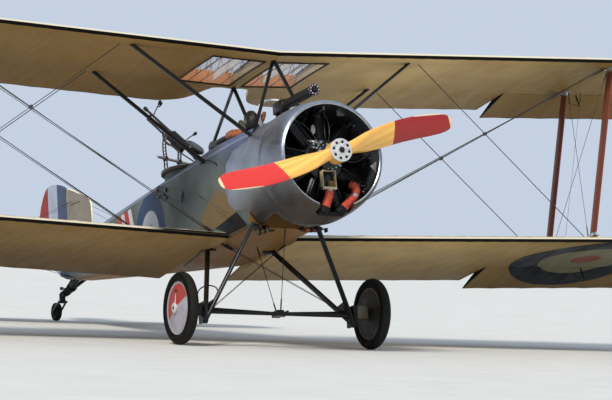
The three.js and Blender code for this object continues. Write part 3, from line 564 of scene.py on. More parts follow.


# Doped cloth of the body: olive grey sides, brown belly, roundel and sloping bars on each side, with painted
# bounce light and painted shadow low on the sides, painted shade on the front wall and a painted highlight
# along the top edge of the sides
def bodyCloth():
    dye = bodyDye
    material = startMaterial("bodyCloth", 0.46, Specular_IOR_Level=0.3, IOR=1.2)
    place = levelPlace()
    _, y, z = parts(place)
    age = spread(cloud(place, 2.4, 5.0), 0.35, 0.65)
    cloth = mixed(age, dye["light"], dye["dark"])
    up = facing()[2]
    cloth = mixed(spread(up, -0.55, -0.85), cloth, dye["belly"])
    # The front wall below the cowl gets a darker copy of the belly colour: painted shade
    cloth = mixed(spread(y, 1.300, 1.296), cloth, dye["front"])
    side = spread(absolute(facing()[0]), 0.75, 0.8)
    slope = plus(y, times(z, -0.35))
    marked = cloth
    for start, end, colour in sideBars:
        strip = times(past(slope, start), past(slope, end, -0.003))
        height = times(spread(z, 0.398, 0.393), spread(z, -0.17, -0.165))
        marked = mixed(times(strip, height), marked, dye[colour])
    marked = roundel(marked, distanceTo(y, z, *dye["middle"]), dye)
    # Painted bounce light and painted shadow, low on the sides
    for colour, corners in sidePatches.items():
        marked = mixed(insideCorners(y, z, corners), marked, dye[colour])
    cloth = mixed(side, cloth, marked)
    upper = spread(z, 0.20, 0.46)
    fore = spread(y, 2.3, 1.5)
    cloth = mixed(times(upper, fore, 0.85), cloth, dye["lilac"])
    # Painted highlight: a bluish line along the top edge of the sides, where the sky lights it
    skyHighlightLine = spread(absolute(minus(z, 0.428)), 0.013, 0.007)
    cloth = mixed(times(skyHighlightLine, 0.8), cloth, dye["deck"])
    paint(cloth, spread(age, 0.0, 1.0, 0.32, 0.46))
    frames = spread(folded(y, 0.21), 0.006, 0.0)
    weave = threads(place, 150.0, "Y")
    sagging = times(cloud(place, 3.0, 2.0), 3.0)
    bumped(plus(times(weave, 0.1), plus(sagging, frames)), 0.25, 0.004)
    return material


metalDye = {
    "light": (0.33, 0.36, 0.43), "dark": (0.20, 0.22, 0.26), "low": (0.060, 0.041, 0.022),
    "streak": (0.46, 0.48, 0.54),
}


# Aluminium sheet, darker brown low down from oil and a painted reflection of the ground, with fine marks of
# the polishing
def noseSheet():
    dye = metalDye
    material = startMaterial("noseSheet", 0.36, 0.85)
    place = levelPlace()
    _, _, z = parts(place)
    broad = spread(cloud(place, 3.0, 5.0, 0.6), 0.35, 0.65)
    fine = cloud(place, 40.0, 3.0, stretch=(1.0, 0.15, 1.0))
    colour = mixed(broad, dye["light"], dye["dark"])
    colour = mixed(times(spread(fine, 0.5, 0.75), 0.35), colour, dye["streak"])
    # Darker brown towards the bottom: oil stain and a painted reflection of the ground
    oilAndGroundReflection = times(spread(plus(z, times(broad, 0.14)), 0.04, -0.38), 0.92)
    colour = mixed(oilAndGroundReflection, colour, dye["low"])
    paint(colour, spread(fine, 0.3, 0.7, 0.30, 0.46))
    bumped(plus(fine, times(cloud(place, 5.0, 2.0), 4.0)), 0.12, 0.003)
    return material


bladeDye = {
    "gold": (0.95, 0.58, 0.13), "amber": (0.72, 0.30, 0.045), "red": (0.66, 0.030, 0.022),
    "redPaintedShade": (0.32, 0.006, 0.003), "sheath": (0.72, 0.60, 0.36), "angle": 19.0, "redFrom": 0.602,
    "slant": 0.28,
}


# Varnished laminated blades with red outer halves, darker on the port blade as painted shade, and a pale
# metal edge at the tips
def bladeVarnish():
    dye = bladeDye
    material = startMaterial("bladeVarnish", 0.24, Coat_Weight=0.4, Coat_Roughness=0.12)
    place = levelPlace()
    lengthwise = add("Mapping", {"Vector": place, "Rotation": (0, radians(dye["angle"]), 0)}).outputs[0]
    along, _, z = parts(lengthwise)
    layers = threads(lengthwise, 9.0, "Y", Distortion=1.4, Detail=3.0)
    grain = cloud(lengthwise, 30.0, 4.0, stretch=(0.12, 1.0, 1.0))
    colour = mixed(times(layers, 0.5), dye["gold"], dye["amber"])
    colour = mixed(times(grain, 0.4), colour, dye["amber"])
    reach = absolute(along)
    lean = times(z, dye["slant"])
    outer = past(minus(reach, lean), dye["redFrom"])
    # Painted shade: the red of the port blade is darker
    red = mixed(spread(along, -0.2, 0.2), dye["red"], dye["redPaintedShade"])
    colour = mixed(outer, colour, red)
    lead = times(z, sums("SIGN", along))
    slope = spread(plus(lead, times(reach, 0.19)), 0.245, 0.249)
    edge = times(slope, spread(reach, 0.84, 0.845))
    colour = mixed(sums("MAXIMUM", edge, spread(reach, 1.196, 1.199)), colour, dye["sheath"])
    paint(colour, spread(grain, 0.3, 0.7, 0.18, 0.32))
    bumped(grain, 0.06, 0.001)
    return material


discDye = {
    "red": (0.38, 0.020, 0.016), "white": (0.35, 0.345, 0.40), "rim": (0.30, 0.30, 0.31),
    "inner": (0.010, 0.008, 0.007), "spoke": (0.085, 0.058, 0.040), "dirt": (0.16, 0.11, 0.09), "slope": 2.67,
    "spokes": 20, "coverRadius": 0.222, "rimRadius": 0.26,
}
wheel = {"x": 0.973, "y": 1.505, "z": -1.1655, "radius": 0.3335}


def wheelAngle(y, z):
    return sums("ARCTAN2", minus(z, wheel["z"]), minus(y, wheel["y"]))


# Cloth wheel covers: red and white halves outside, dark inside
def wheelCloth():
    dye = discDye
    material = startMaterial("wheelCloth", 0.5)
    place = levelPlace()
    x, y, z = parts(place)
    side = minus(absolute(x), wheel["x"])
    dirt = spread(cloud(place, 9.0, 4.0), 0.35, 0.7)
    cut = plus(minus(y, wheel["y"]), times(minus(z, wheel["z"]), dye["slope"]))
    colour = mixed(past(cut, 0.0, 0.002), dye["white"], dye["red"])
    colour = mixed(times(dirt, 0.35), colour, dye["dirt"])
    distance = distanceTo(y, z, wheel["y"], wheel["z"])
    for radius in (dye["coverRadius"], dye["rimRadius"]):
        colour = mixed(inside(distance, radius, 0.003), dye["rim"], colour)
    spokes = spread(folded(wheelAngle(y, z), pi / dye["spokes"]), 0.0, 0.03, 1.0, 0.0)
    hidden = mixed(times(spokes, 0.5), dye["inner"], dye["spoke"])
    hidden = mixed(inside(distance, 0.228, 0.006), dye["spoke"], hidden)
    colour = mixed(spread(side, 0.002, -0.002), colour, hidden)
    paint(colour, spread(dirt, 0.0, 1.0, 0.42, 0.6))
    bumped(plus(cloud(place, 60.0, 2.0), spokes), 0.2, 0.002)
    return material


# Black rubber with a pattern of small diamonds on the tread
def tyreRubber():
    material = startMaterial("tyreRubber", 0.8, Specular_IOR_Level=0.12)
    place = levelPlace()
    x, y, z = parts(place)
    turn = times(wheelAngle(y, z), wheel["radius"])
    one = folded(plus(turn, x), 0.012)
    other = folded(minus(turn, x), 0.012)
    groove = times(spread(sums("MINIMUM", one, other), 0.0015, 0.0035),
                  spread(distanceTo(y, z, wheel["y"], wheel["z"]), 0.312, 0.318))
    dust = spread(cloud(place, 12.0, 4.0), 0.4, 0.75)
    colour = mixed(times(dust, 0.4), (0.003, 0.003, 0.003), (0.013, 0.011, 0.009))
    colour = mixed(times(groove, 0.5), colour, (0.035, 0.032, 0.028))
    paint(colour, spread(dust, 0.0, 1.0, 0.6, 0.85))
    bumped(groove, 0.8, 0.003)
    return material


rudderDye = {
    "blue": (0.030, 0.058, 0.128), "white": (0.34, 0.38, 0.48), "red": (0.27, 0.016, 0.015), "blueTo": 6.86,
    "whiteTo": 7.14,
}


def rudderStripes():
    dye = rudderDye
    material = startMaterial("rudderStripes", 0.46, Specular_IOR_Level=0.1)
    place = levelPlace()
    _, y, z = parts(place)
    age = spread(cloud(place, 5.0, 4.0), 0.35, 0.7)
    colour = mixed(past(y, dye["blueTo"], 0.002), dye["blue"], dye["white"])
    colour = mixed(past(y, dye["whiteTo"], 0.002), colour, dye["red"])
    colour = mixed(times(age, 0.18), colour, (0.15, 0.13, 0.11))
    paint(colour, spread(age, 0.0, 1.0, 0.36, 0.5))
    frames = spread(folded(z, 0.115), 0.006, 0.0)
    bumped(plus(frames, cloud(place, 90.0, 2.0)), 0.25, 0.002)
    return material


# Glass-clear sheet with a faint warm tint
def clearSheet():
    material = startMaterial("clearSheet", 0.08, Alpha=0.15, Specular_IOR_Level=0.5)
    place = levelPlace()
    haze = spread(cloud(place, 4.0, 4.0), 0.35, 0.7)
    paint(mixed(haze, (0.52, 0.56, 0.64), (0.60, 0.58, 0.58)), spread(haze, 0.0, 1.0, 0.06, 0.2))
    bumped(cloud(place, 6.0, 2.0), 0.1, 0.004)
    return material


# Varnished strut wood: brown red, with painted light making the side that faces port brighter
def strutWood():
    material = startMaterial("strutVarnish", 0.34, Specular_IOR_Level=0.3)
    place = levelPlace()
    grain = cloud(place, 8.0, 4.0, stretch=(1.0, 1.0, 0.12))
    side = facing()[0]
    # Painted light: lighter and redder on the side that faces port
    face = mixed(spread(side, -0.20, 0.35), (0.17, 0.045, 0.028), (0.62, 0.060, 0.018))
    colour = mixed(times(grain, 0.5), face, (0.070, 0.016, 0.010))
    paint(colour, spread(grain, 0.3, 0.7, 0.28, 0.40))
    bumped(grain, 0.1, 0.001)
    return material


blackPaint = plainFinish("blackPaint", (0.008, 0.0075, 0.007), (0.003, 0.003, 0.003),
                         0.30, grain=25, Specular_IOR_Level=0.28)
engineBlack = plainFinish("engineBlack", (0.007, 0.007, 0.007),
                          (0.0025, 0.0025, 0.0025), 0.22, grain=30, bump=0.15,
                          Specular_IOR_Level=0.35, Coat_Weight=0.12, Coat_Roughness=0.08)
olivePaint = plainFinish("olivePaint", (0.13, 0.112, 0.066), (0.075, 0.064, 0.038), 0.5, grain=24)
platePaint = plainFinish("platePaint", (0.30, 0.29, 0.31), (0.20, 0.18, 0.18), 0.45, grain=20)
panelBoxPaint = plainFinish("panelBoxPaint", (0.80, 0.78, 0.78), (0.58, 0.54, 0.54), 0.5, grain=14)
gunSteel = plainFinish("gunSteel", (0.010, 0.010, 0.010), (0.004, 0.004, 0.004),
                       0.30, grain=40, bump=0.15, Specular_IOR_Level=0.35)
hubSteel = plainFinish("hubSteel", (0.62, 0.62, 0.60), (0.50, 0.50, 0.49), 0.34, 0.2, grain=30, bump=0.08)
brightMetal = plainFinish("brightMetal", (0.62, 0.63, 0.64), (0.40, 0.40, 0.41), 0.26, 0.95, grain=30)
creamPaint = plainFinish("creamPaint", (0.58, 0.50, 0.34), (0.44, 0.36, 0.22), 0.45, grain=20)
hoseRubber = plainFinish("hoseRubber", (0.50, 0.060, 0.022), (0.32, 0.034, 0.014), 0.42, grain=26, bump=0.25)
strutVarnish = strutWood()
# The spar seen through the clear panels glows a little: painted light
sparVarnishGlow = plainFinish("sparVarnishGlow", (1.0, 0.40, 0.085), (0.86, 0.31, 0.060),
                          0.4, grain=10, stretch=(0.1, 1.0, 1.0),
                          Emission_Color=(1.0, 0.36, 0.10, 1.0), Emission_Strength=0.22)
frameWood = plainFinish("frameWood", (0.30, 0.17, 0.075), (0.19, 0.095, 0.040),
                        0.45, grain=12, stretch=(1.0, 0.2, 1.0))
darkLeather = plainFinish("darkLeather", (0.016, 0.011, 0.009),
                          (0.007, 0.005, 0.005), 0.48, grain=60, bump=0.5)
tanLeather = plainFinish("tanLeather", (0.52, 0.17, 0.045), (0.20, 0.055, 0.018), 0.46, grain=55, bump=0.5)
softBlack = plainFinish("softBlack", (0.010, 0.010, 0.010), (0.004, 0.004, 0.004),
                        0.6, grain=40, bump=0.2, Specular_IOR_Level=0.12)
ringBrass = plainFinish("ringBrass", (0.30, 0.22, 0.10), (0.12, 0.09, 0.05), 0.34, 0.6, grain=30)
brassMetal = plainFinish("brassMetal", (0.62, 0.40, 0.13), (0.42, 0.25, 0.08), 0.32, 0.9, grain=30)
ringBrown = plainFinish("ringBrown", (0.085, 0.050, 0.034), (0.040, 0.025, 0.018), 0.38, 0.3, grain=24)
wireSteel = plainFinish("wireSteel", (0.085, 0.083, 0.078), (0.03, 0.03, 0.028), 0.4, 0.5, grain=40)
finLinen = plainFinish("finLinen", (0.26, 0.23, 0.185), (0.20, 0.17, 0.135),
                       0.5, grain=4, bump=0.12, Specular_IOR_Level=0.15)
whitePaint = plainFinish("whitePaint", (0.82, 0.81, 0.80), (0.68, 0.66, 0.64), 0.4, grain=16)
paleAlloy = plainFinish("paleAlloy", (0.42, 0.40, 0.38), (0.26, 0.24, 0.22), 0.4, 0.3, grain=30)
muzzlePink = plainFinish("muzzlePink", (0.62, 0.48, 0.52), (0.42, 0.32, 0.35), 0.45, grain=40)
brownLeather = plainFinish("brownLeather", (0.060, 0.028, 0.016),
                           (0.022, 0.012, 0.008), 0.46, grain=55, bump=0.5)
oliveCloth = plainFinish("oliveCloth", (0.050, 0.058, 0.034), (0.022, 0.026, 0.016), 0.6, grain=50, bump=0.5)
paleTape = plainFinish("paleTape", (0.78, 0.74, 0.62), (0.62, 0.58, 0.46), 0.45, grain=14)
bodyFinish = bodyCloth()
noseFinish = noseSheet()
bladeFinish = bladeVarnish()
discFinish = wheelCloth()
tyreFinish = tyreRubber()
rudderFinish = rudderStripes()
panelFinish = clearSheet()
upperLinen = wingLinen("upperLinen", middle=(3.95, 0.80), above=True)
lowerLinen = wingLinen("lowerLinen", middle=(3.97, 0.80))
tailLinen = plainFinish("tailLinen", (0.33, 0.27, 0.18), (0.23, 0.18, 0.11), 0.45, grain=3, bump=0.12)
print("materials ready")


# Wings: a skin with the cloth sagging between the ribs

wing = {
    "chord": 1.676, "semiSpan": 5.105, "root": 0.352, "noseHeight": 0.018, "meanHeight": 0.03, "points": 26,
}
upper = {"y": 1.115, "z": 1.172, "rise": tan(radians(2.6)), "incidence": radians(1.9), "horn": 3.86}
lower = {"y": 1.720, "z": -0.458, "rise": tan(radians(2.0)), "incidence": radians(1.3), "horn": 4.12}
aileron = {"hinge": 1.150, "inner": 2.980, "gap": 0.012, "middle": 0.050, "droop": -10}
panel = {"inner": 0.060, "outer": 0.600, "front": 0.210, "rear": 1.050}

section = [  # share of the chord, top and underside above the chord line
    (0.02, 0.036, 0.004), (0.08, 0.056, 0.000), (0.20, 0.0666, 0.003), (0.35, 0.068, 0.008),
    (0.50, 0.0632, 0.010), (0.66, 0.053, 0.009), (0.80, 0.038, 0.005), (1.00, 0.006, 0.002),
]
tipRows = [  # span, how far the leading and trailing edges draw in, share of the depth
    (4.640, 0.0, 0.0, 1.0), (4.820, 0.022, 0.0, 1.0), (4.950, 0.090, 0.006, 0.95),
    (5.040, 0.220, 0.040, 0.82), (5.088, 0.430, 0.130, 0.60), (5.105, 0.690, 0.330, 0.30),
]
notchRows = [(0.0, 1.125), (0.110, 1.130), (0.185, 1.165), (0.235, 1.270), (0.270, 1.400), (0.330, 1.520),
             (0.430, 1.610), (0.560, 1.676)]


def between(rows, at, column):
    if at <= rows[0][0]:
        return rows[0][column]
    for low, high in zip(rows, rows[1:]):
        if at <= high[0]:
            return low[column] + (high[column] - low[column]) * (at - low[0]) / (high[0] - low[0])
    return rows[-1][column]


def sectionHeight(share, column):
    first = section[0]
    if share < first[0]:
        bulge = sqrt(max(0.0, 1 - (1 - share / first[0]) ** 2))
        return wing["noseHeight"] + (first[column] - wing["noseHeight"]) * bulge
    for k in range(len(section) - 1):
        a, b = section[k], section[k + 1]
        if share <= b[0] + 1e-9:
            before, after = section[max(k - 1, 0)], section[min(k + 2, len(section) - 1)]
            t = (share - a[0]) / (b[0] - a[0])
            width = b[0] - a[0]
            slopeA = (b[column] - before[column]) / (b[0] - before[0])
            slopeB = (after[column] - a[column]) / (after[0] - a[0])
            return ((2 * t ** 3 - 3 * t * t + 1) * a[column] + (t ** 3 - 2 * t * t + t) * width * slopeA
                    + (3 * t * t - 2 * t ** 3) * b[column] + (t ** 3 - t * t) * width * slopeB)
    return section[-1][column]


def wingPoint(plane, x, back, up):
    c, s = cos(plane["incidence"]), sin(plane["incidence"])
    return v(x, plane["y"] + back * c + up * s, plane["z"] + abs(x) * plane["rise"] - back * s + up * c)


# One ring of the skin at a span, from one distance behind the leading edge to another
def wingRing(plane, x, start, end, bow=False):
    points = wing["points"]
    lead, trail, depth = (between(tipRows, abs(x), k) for k in (1, 2, 3))
    length = wing["chord"] - lead - trail
    slack = abs(sin(pi * abs(x) / ribs["pitch"]))
    noseSlack = abs(sin(2 * pi * abs(x) / ribs["pitch"]))
    if bow:
        end -= ribs["bow"] * slack
    start, end = max(start, lead), max(min(end, wing["chord"] - trail), lead + 0.02)
    places, marks = [], []
    for under in (0, 1):
        for k in range(points):
            t = k / (points - 1)
            t = 1 - t if under == 0 else t
            back = start + (end - start) * t ** 1.8 if start <= lead + 1e-6 else start + (end - start) * t
            share = min(max((back - lead) / length, 0.0), 1.0)
            height = sectionHeight(share, 1 + under)
            fade = min(1, share / 0.08) * min(1, (1 - share) / 0.12)
            sag = ribs["sag"] * slack * fade
            sag += ribs["noseSag"] * noseSlack * min(1, share / 0.02) * max(0, 1 - share / 0.16)
            up = (wing["meanHeight"] + (height - wing["meanHeight"]) * depth) * wing["chord"]
            up += sag if under else -sag
            places.append(wingPoint(plane, x, back, up))
            marks.append({"back": back, "under": float(under), "edge": 0.0})
    nose = points - 1
    for under, order in ((0, range(nose - 1, -1, -1)), (1, range(nose + 1, 2 * points))):
        reach = 0.0
        for k in order:
            before = places[k + 1] if under == 0 else places[k - 1]
            reach += (places[k] - before).length
            marks[k]["edge"] = reach if under == 0 else -reach
    if start > lead + 1e-6:
        for mark in marks:
            mark["edge"] = 1.0
    return places, marks


def spanStations(x0, x1):
    step = ribs["pitch"] / 2 / ribs["stations"]
    inner = [k * step for k in range(ceil((x0 + 1e-4) / step), ceil(x1 / step)) if k * step < x1 - 1e-4]
    tips = [4.86, 4.92, 4.95, 4.98, 5.01, 5.04, 5.065, 5.08, 5.088, 5.096, 5.101] if x1 > 5.1 else []
    return sorted({round(x, 4) for x in [x0, *inner, *tips, x1]})


def wingSkin(name, plane, x0, x1, start, end, bow=False):
    rows = []
    for x in spanStations(x0, x1):
        rear = between(notchRows, x, 1) if plane is upper and x < 0.56 and end > 1.2 else end
        rows.append(wingRing(plane, x, start, min(rear, end), bow=bow))
    return skin(name, [row[0] for row in rows], marks=[row[1] for row in rows])


def wingHalf(name, plane):
    spans = [(wing["root"], aileron["inner"], 0, wing["chord"], True)]
    if plane is upper:
        spans = [
            (0.0015, panel["inner"], 0, wing["chord"], True),
            (panel["inner"], panel["outer"], 0, panel["front"]),
            (panel["inner"], panel["outer"], panel["rear"], wing["chord"], True),
            (panel["outer"], aileron["inner"], 0, wing["chord"], True),
        ]
    spans.append((aileron["inner"], wing["semiSpan"], 0, aileron["hinge"] - 0.010))
    return joined(name, [wingSkin(name, plane, *span) for span in spans])


# The aileron hangs on the hinge line with its own rounded nose
def aileronHalf(name, plane):
    flap = wingSkin(name, plane, aileron["inner"] + aileron["gap"],
                    wing["semiSpan"], aileron["hinge"] + 0.004, wing["chord"], True)
    inner = wingPoint(plane, aileron["inner"] + aileron["gap"], aileron["hinge"], aileron["middle"] + 0.004)
    outer = wingPoint(plane, wing["semiSpan"] - 0.16, aileron["hinge"], aileron["middle"])
    nose = bar("hingeNose", [inner, inner.lerp(outer, 0.75), outer], [0.029, 0.029, 0.022], 16)
    pin = wingPoint(plane, 4.0, aileron["hinge"], aileron["middle"])
    pieces = [flap, nose, *controlHorn(plane, plane["horn"])]
    return turned(joined(name, pieces), pin, (1, 0, plane["rise"]), aileron["droop"])


# Control horn: a small kingpost above and below the hinge with its two stays
def controlHorn(plane, x):
    back = aileron["hinge"] + 0.03
    pieces = []
    for end, rest in ((-0.115, 0.018), (0.175, 0.05)):
        foot = wingPoint(plane, x, back, 0.03)
        head = wingPoint(plane, x, back - 0.035, end)
        heel = wingPoint(plane, x, back + 0.16, rest)
        pieces.append(bar("horn", middled(foot, head), [0.008, 0.007, 0.004], 8))
        pieces.append(bar("hornStay", middled(head, heel), 0.003, 6))
    return pieces


for label, plane, linen in (("upper", upper, upperLinen), ("lower", lower, lowerLinen)):
    half = wingHalf("half", plane)
    settlePair(half, f"{label}Wing", linen, stands=f"{label}_wing", angle=40)
    flap = aileronHalf("flap", plane)
    settlePair(flap, f"{label}Aileron", linen, f"{label}_aileron", f"{label}_aileron", 40)
print("wings ready")


# Clear panels by the wing joint: sheet on both faces, black rims, light ribs with open bracing
panelFrame = {
    "sheet": 0.0012, "steps": 14, "rim": 0.0095, "ribs": (0.150, 0.370, 0.490), "cap": 0.0055,
    "capInset": 0.007, "brace": 0.0035, "braceInset": 0.008, "solidRib": 0.262, "solidHalf": 0.008,
    "inset": 0.006, "sparTop": 0.900, "sparFoot": 1.036, "sparSteps": 6, "plank": 0.012,
}


# A point on the wing's top skin, or on its underside
def onSurface(plane, x, back, under=0):
    return wingPoint(plane, x, back, sectionHeight(back / wing["chord"], 1 + under) * wing["chord"])


def panelSide():
    sizes, inner, outer = panelFrame, panel["inner"], panel["outer"]
    steps, reach = sizes["steps"], panel["rear"] - panel["front"]
    step = [panel["front"] + reach * k / steps for k in range(steps + 1)]

    def surface(x, back, under, inset=0.0):
        return onSurface(upper, x, back, under) + v(0, 0, inset if under else -inset)

    sheets, rims, frames = [], [], []
    for under in (0, 1):
        thick = v(0, 0, sizes["sheet"] * (1 if under else -1))
        rows = []
        for back in step:
            a = surface(inner, back, under, 0.0004) + v(0.004, 0, 0)
            b = surface(outer, back, under, 0.0004) - v(0.004, 0, 0)
            rows.append([a, b, b + thick, a + thick])
        sheets.append(skin("sheet", rows))
        for x in (inner + 0.007, outer - 0.007):
            rims.append(bar("rim", [surface(x, back, under) for back in step], sizes["rim"], 8))
        for back in (panel["front"] + 0.008, panel["rear"] - 0.008):
            ends = middled(surface(inner, back, under), surface(outer, back, under))
            rims.append(bar("rim", ends, sizes["rim"], 8))
        for x in sizes["ribs"]:
            frames.append(bar("ribCap", [surface(x, back, under, sizes["capInset"])
                                         for back in step], sizes["cap"], 6))
    inset = v(0, 0, sizes["braceInset"])
    for x in sizes["ribs"]:
        for k in range(1, steps - 2, 2):
            low, high = surface(x, step[k], 1), surface(x, step[k + 1 - k % 4], 0)
            frames.append(bar("brace", [low + inset, low.lerp(high, 0.5), high - inset], sizes["brace"], 6))
    rows = []
    wide = outer - inner - 2 * sizes["inset"]
    for k in range(sizes["sparSteps"] + 1):
        x = inner + sizes["inset"] + wide * k / sizes["sparSteps"]
        low = surface(x, sizes["sparFoot"], 1, 0.004)
        high, thick = surface(x, sizes["sparTop"], 0, 0.006), v(0, sizes["plank"], 0)
        rows.append([low, high, high + thick, low + thick])
    wide = v(sizes["solidHalf"], 0, 0)
    solid = []
    for back in step[1:-1]:
        low, high = (surface(sizes["solidRib"], back, under, sizes["inset"]) for under in (1, 0))
        solid.append([low - wide, low + wide, high + wide, high - wide])
    return sheets, rims, frames, [skin("spar", rows)], [skin("solidRib", solid)]


panelKinds = [  # name, finish, slot, the imported piece it stands for
    ("clearSheet", panelFinish, "clear_sheet", "clear_panel"), ("panelRim", blackPaint, "black_tube", None),
    ("panelRibs", frameWood, "frame_wood", None), ("panelSpar", sparVarnishGlow, "frame_wood", None),
    ("panelBox", panelBoxPaint, "cooler_frame", None),
]
for (name, finish, slot, stand), pieces in zip(panelKinds, panelSide()):
    settlePair(joined(name, pieces), name, finish, stands=stand)
print("clear panels ready")


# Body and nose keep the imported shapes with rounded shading; trim is added on top
refine("fuselage", bodyFinish, angle=28)
refine("nose_fairing", noseFinish, angle=40)
print("body ready")


# Cowl: a double wall from the back edge round the lip and back inside
cowlRows = [  # distance aft and radius: outside from the back, round the lip, then inside
    (0.660, 0.545), (0.606, 0.545), (0.602, 0.547), (0.580, 0.547), (0.576, 0.545), (0.500, 0.545),
    (0.400, 0.5405), (0.300, 0.528), (0.250, 0.5195), (0.220, 0.5125), (0.200, 0.5055), (0.190, 0.4975),
    (0.186, 0.490), (0.1875, 0.483), (0.194, 0.478), (0.204, 0.4755), (0.216, 0.4745), (0.224, 0.478),
    (0.244, 0.490), (0.300, 0.5125), (0.400, 0.526), (0.500, 0.533), (0.660, 0.533),
]
cowlSkin = joinEnds(lathe("cowling", cowlRows, 96, ends=False))
cutAway(cowlSkin, block("lipNotch", (-0.150, 0.150, -0.560), (0.182, 0.316, -0.400), 0.02))
settle(cowlSkin, noseFinish, stands=("cowling",), angle=30)

# Bright turned rim round the opening
lip = {"radius": 0.478, "y": 0.194, "bead": 0.0085, "from": 23, "turn": 318, "steps": 120, "sides": 10}
rimRings = []
for t in [radians(lip["from"] + lip["turn"] * k / lip["steps"]) for k in range(lip["steps"] + 1)]:
    bead = [(lip["radius"] + lip["bead"] * cos(a), lip["y"] + lip["bead"] * sin(a))
            for a in angles(lip["sides"])]
    rimRings.append([v(r * sin(t), y, -r * cos(t)) for r, y in bead])
settle(skin("cowlRim", rimRings), brightMetal)


# Engine: one finned cylinder with its rods and plugs, copied nine times round the drum
engine = {
    "y": 0.470, "cylinders": 9, "fins": 13, "firstFin": 0.206, "finPitch": 0.0155, "finRoot": 0.074,
    "finRim": 0.086, "finGrowth": 0.012, "root": 0.150, "head": 0.486,
}
cylinderTrim = [  # name, places with x out from the middle, radii, sides; made on both sides of the cylinder
    ("valveSpring", [(0.040, -0.030, 0.440), (0.040, -0.030, 0.470), (0.040, -0.030, 0.500)],
     [0.018, 0.015, 0.012], 12),
    ("pushrod", [(0.030, -0.098, 0.196), (0.036, -0.086, 0.33), (0.041, -0.070, 0.478)],
     [0.0060, 0.0055, 0.0055], 10),
    ("rodNut", [(0.030, -0.099, 0.194), (0.030, -0.097, 0.215), (0.031, -0.095, 0.226)],
     [0.013, 0.013, 0.009], 6),
]


def cylinderModel():
    rows = [(engine["root"], 0.078), (0.196, 0.078)]
    for k in range(engine["fins"]):
        at, root = engine["firstFin"] + k * engine["finPitch"], engine["finRoot"]
        rim = engine["finRim"] + engine["finGrowth"] * min(1.0, k / 4)
        rows += [(at - 0.004, root), (at - 0.0015, rim), (at + 0.0015, rim), (at + 0.004, root)]
    rows += [(0.412, 0.074), (0.424, 0.076), (0.452, 0.066), (0.470, 0.050), (engine["head"], 0.030)]
    dark = [uprightLathe("barrel", rows, 20)]
    for side in (-1, 1):
        x = side * 0.040
        dark.append(block("rockerBox", (x - 0.013, -0.070, 0.462), (x + 0.013, 0.030, 0.492), 0.005))
        for name, places, radii, sides in cylinderTrim:
            dark.append(bar(name, [(side * x, y, z) for x, y, z in places], radii, sides))
    bright = [
        bar("plug", [(0.0, -0.070, 0.440), (0.0, -0.090, 0.448), (0.0, -0.112, 0.456)],
            [0.011, 0.011, 0.006], 6),
        bar("rockerNut", [(0.040, y, 0.479) for y in (-0.070, -0.080, -0.084)], [0.009, 0.009, 0.004], 6),
    ]
    pipe = curveThrough([(-0.060, 0.06, 0.160), (-0.104, 0.075, 0.26),
                         (-0.100, 0.075, 0.38), (-0.060, 0.06, 0.440)])
    dark.append(bar("inletPipe", pipe, 0.018, 12))
    return joined("cylinderDark", dark), joined("cylinderBright", bright)


# A ring of small nuts or bolts round the engine's line: places along it, radii there
def nutRing(name, count, circle, places, radii, sides=6, start=0.0):
    spots = [(cos(a) * circle, sin(a) * circle) for a in angles(count, start)]
    return [bar(name, [(x, y, z) for y in places], radii, sides) for x, z in spots]


models = cylinderModel()
darkParts, brightParts = [], []
for a in angles(engine["cylinders"]):
    turn = Matrix.Translation((0, engine["y"], 0)) @ Matrix.Rotation(a, 4, "Y")
    darkParts.append(copyOf(models[0], "cylinder", turn))
    brightParts.append(copyOf(models[1], "cylinderTrim", turn))
for spare in models:
    bpy.data.objects.remove(spare)

crankcaseRows = [
    (0.330, 0.100), (0.345, 0.150), (0.360, 0.188), (0.380, 0.198), (0.600, 0.200), (0.620, 0.190),
    (0.640, 0.150), (1.040, 0.146), (1.060, 0.118), (1.280, 0.118),
]
noseCaseRows = [
    (0.150, 0.050), (0.156, 0.062), (0.170, 0.066), (0.215, 0.072), (0.240, 0.098), (0.252, 0.122),
    (0.262, 0.126), (0.285, 0.126), (0.292, 0.112), (0.340, 0.108), (0.352, 0.170), (0.366, 0.176),
]
darkParts += [lathe("crankcase", crankcaseRows), lathe("noseCase", noseCaseRows)]
brightParts += nutRing("caseNut", 18, 0.115, (0.243, 0.256, 0.262), [0.008, 0.008, 0.004])
brightParts += nutRing("drumNut", 9, 0.160, (0.338, 0.352, 0.358), [0.010, 0.010, 0.005], start=0.5)
settle(joined("engineCylinders", darkParts), engineBlack, stands=("engine",), angle=30)
settle(joined("engineRods", brightParts), brightMetal, angle=30)

# Ignition leads that loop in front of the cylinders
leads = []
for a in angles(engine["cylinders"])[::2]:
    out, side = v(sin(a), 0, cos(a)), v(cos(a), 0, -sin(a))
    route = [out * far + side * wide + v(0, y, 0) for far, wide, y in (
        (0.128, 0, 0.268), (0.22, 0.055, 0.335), (0.34, 0.060, 0.350), (0.458, 0.012, 0.362))]
    leads.append(bar("lead", curveThrough(route), 0.0032, 6))
settle(joined("ignitionLeads", leads), wireSteel)

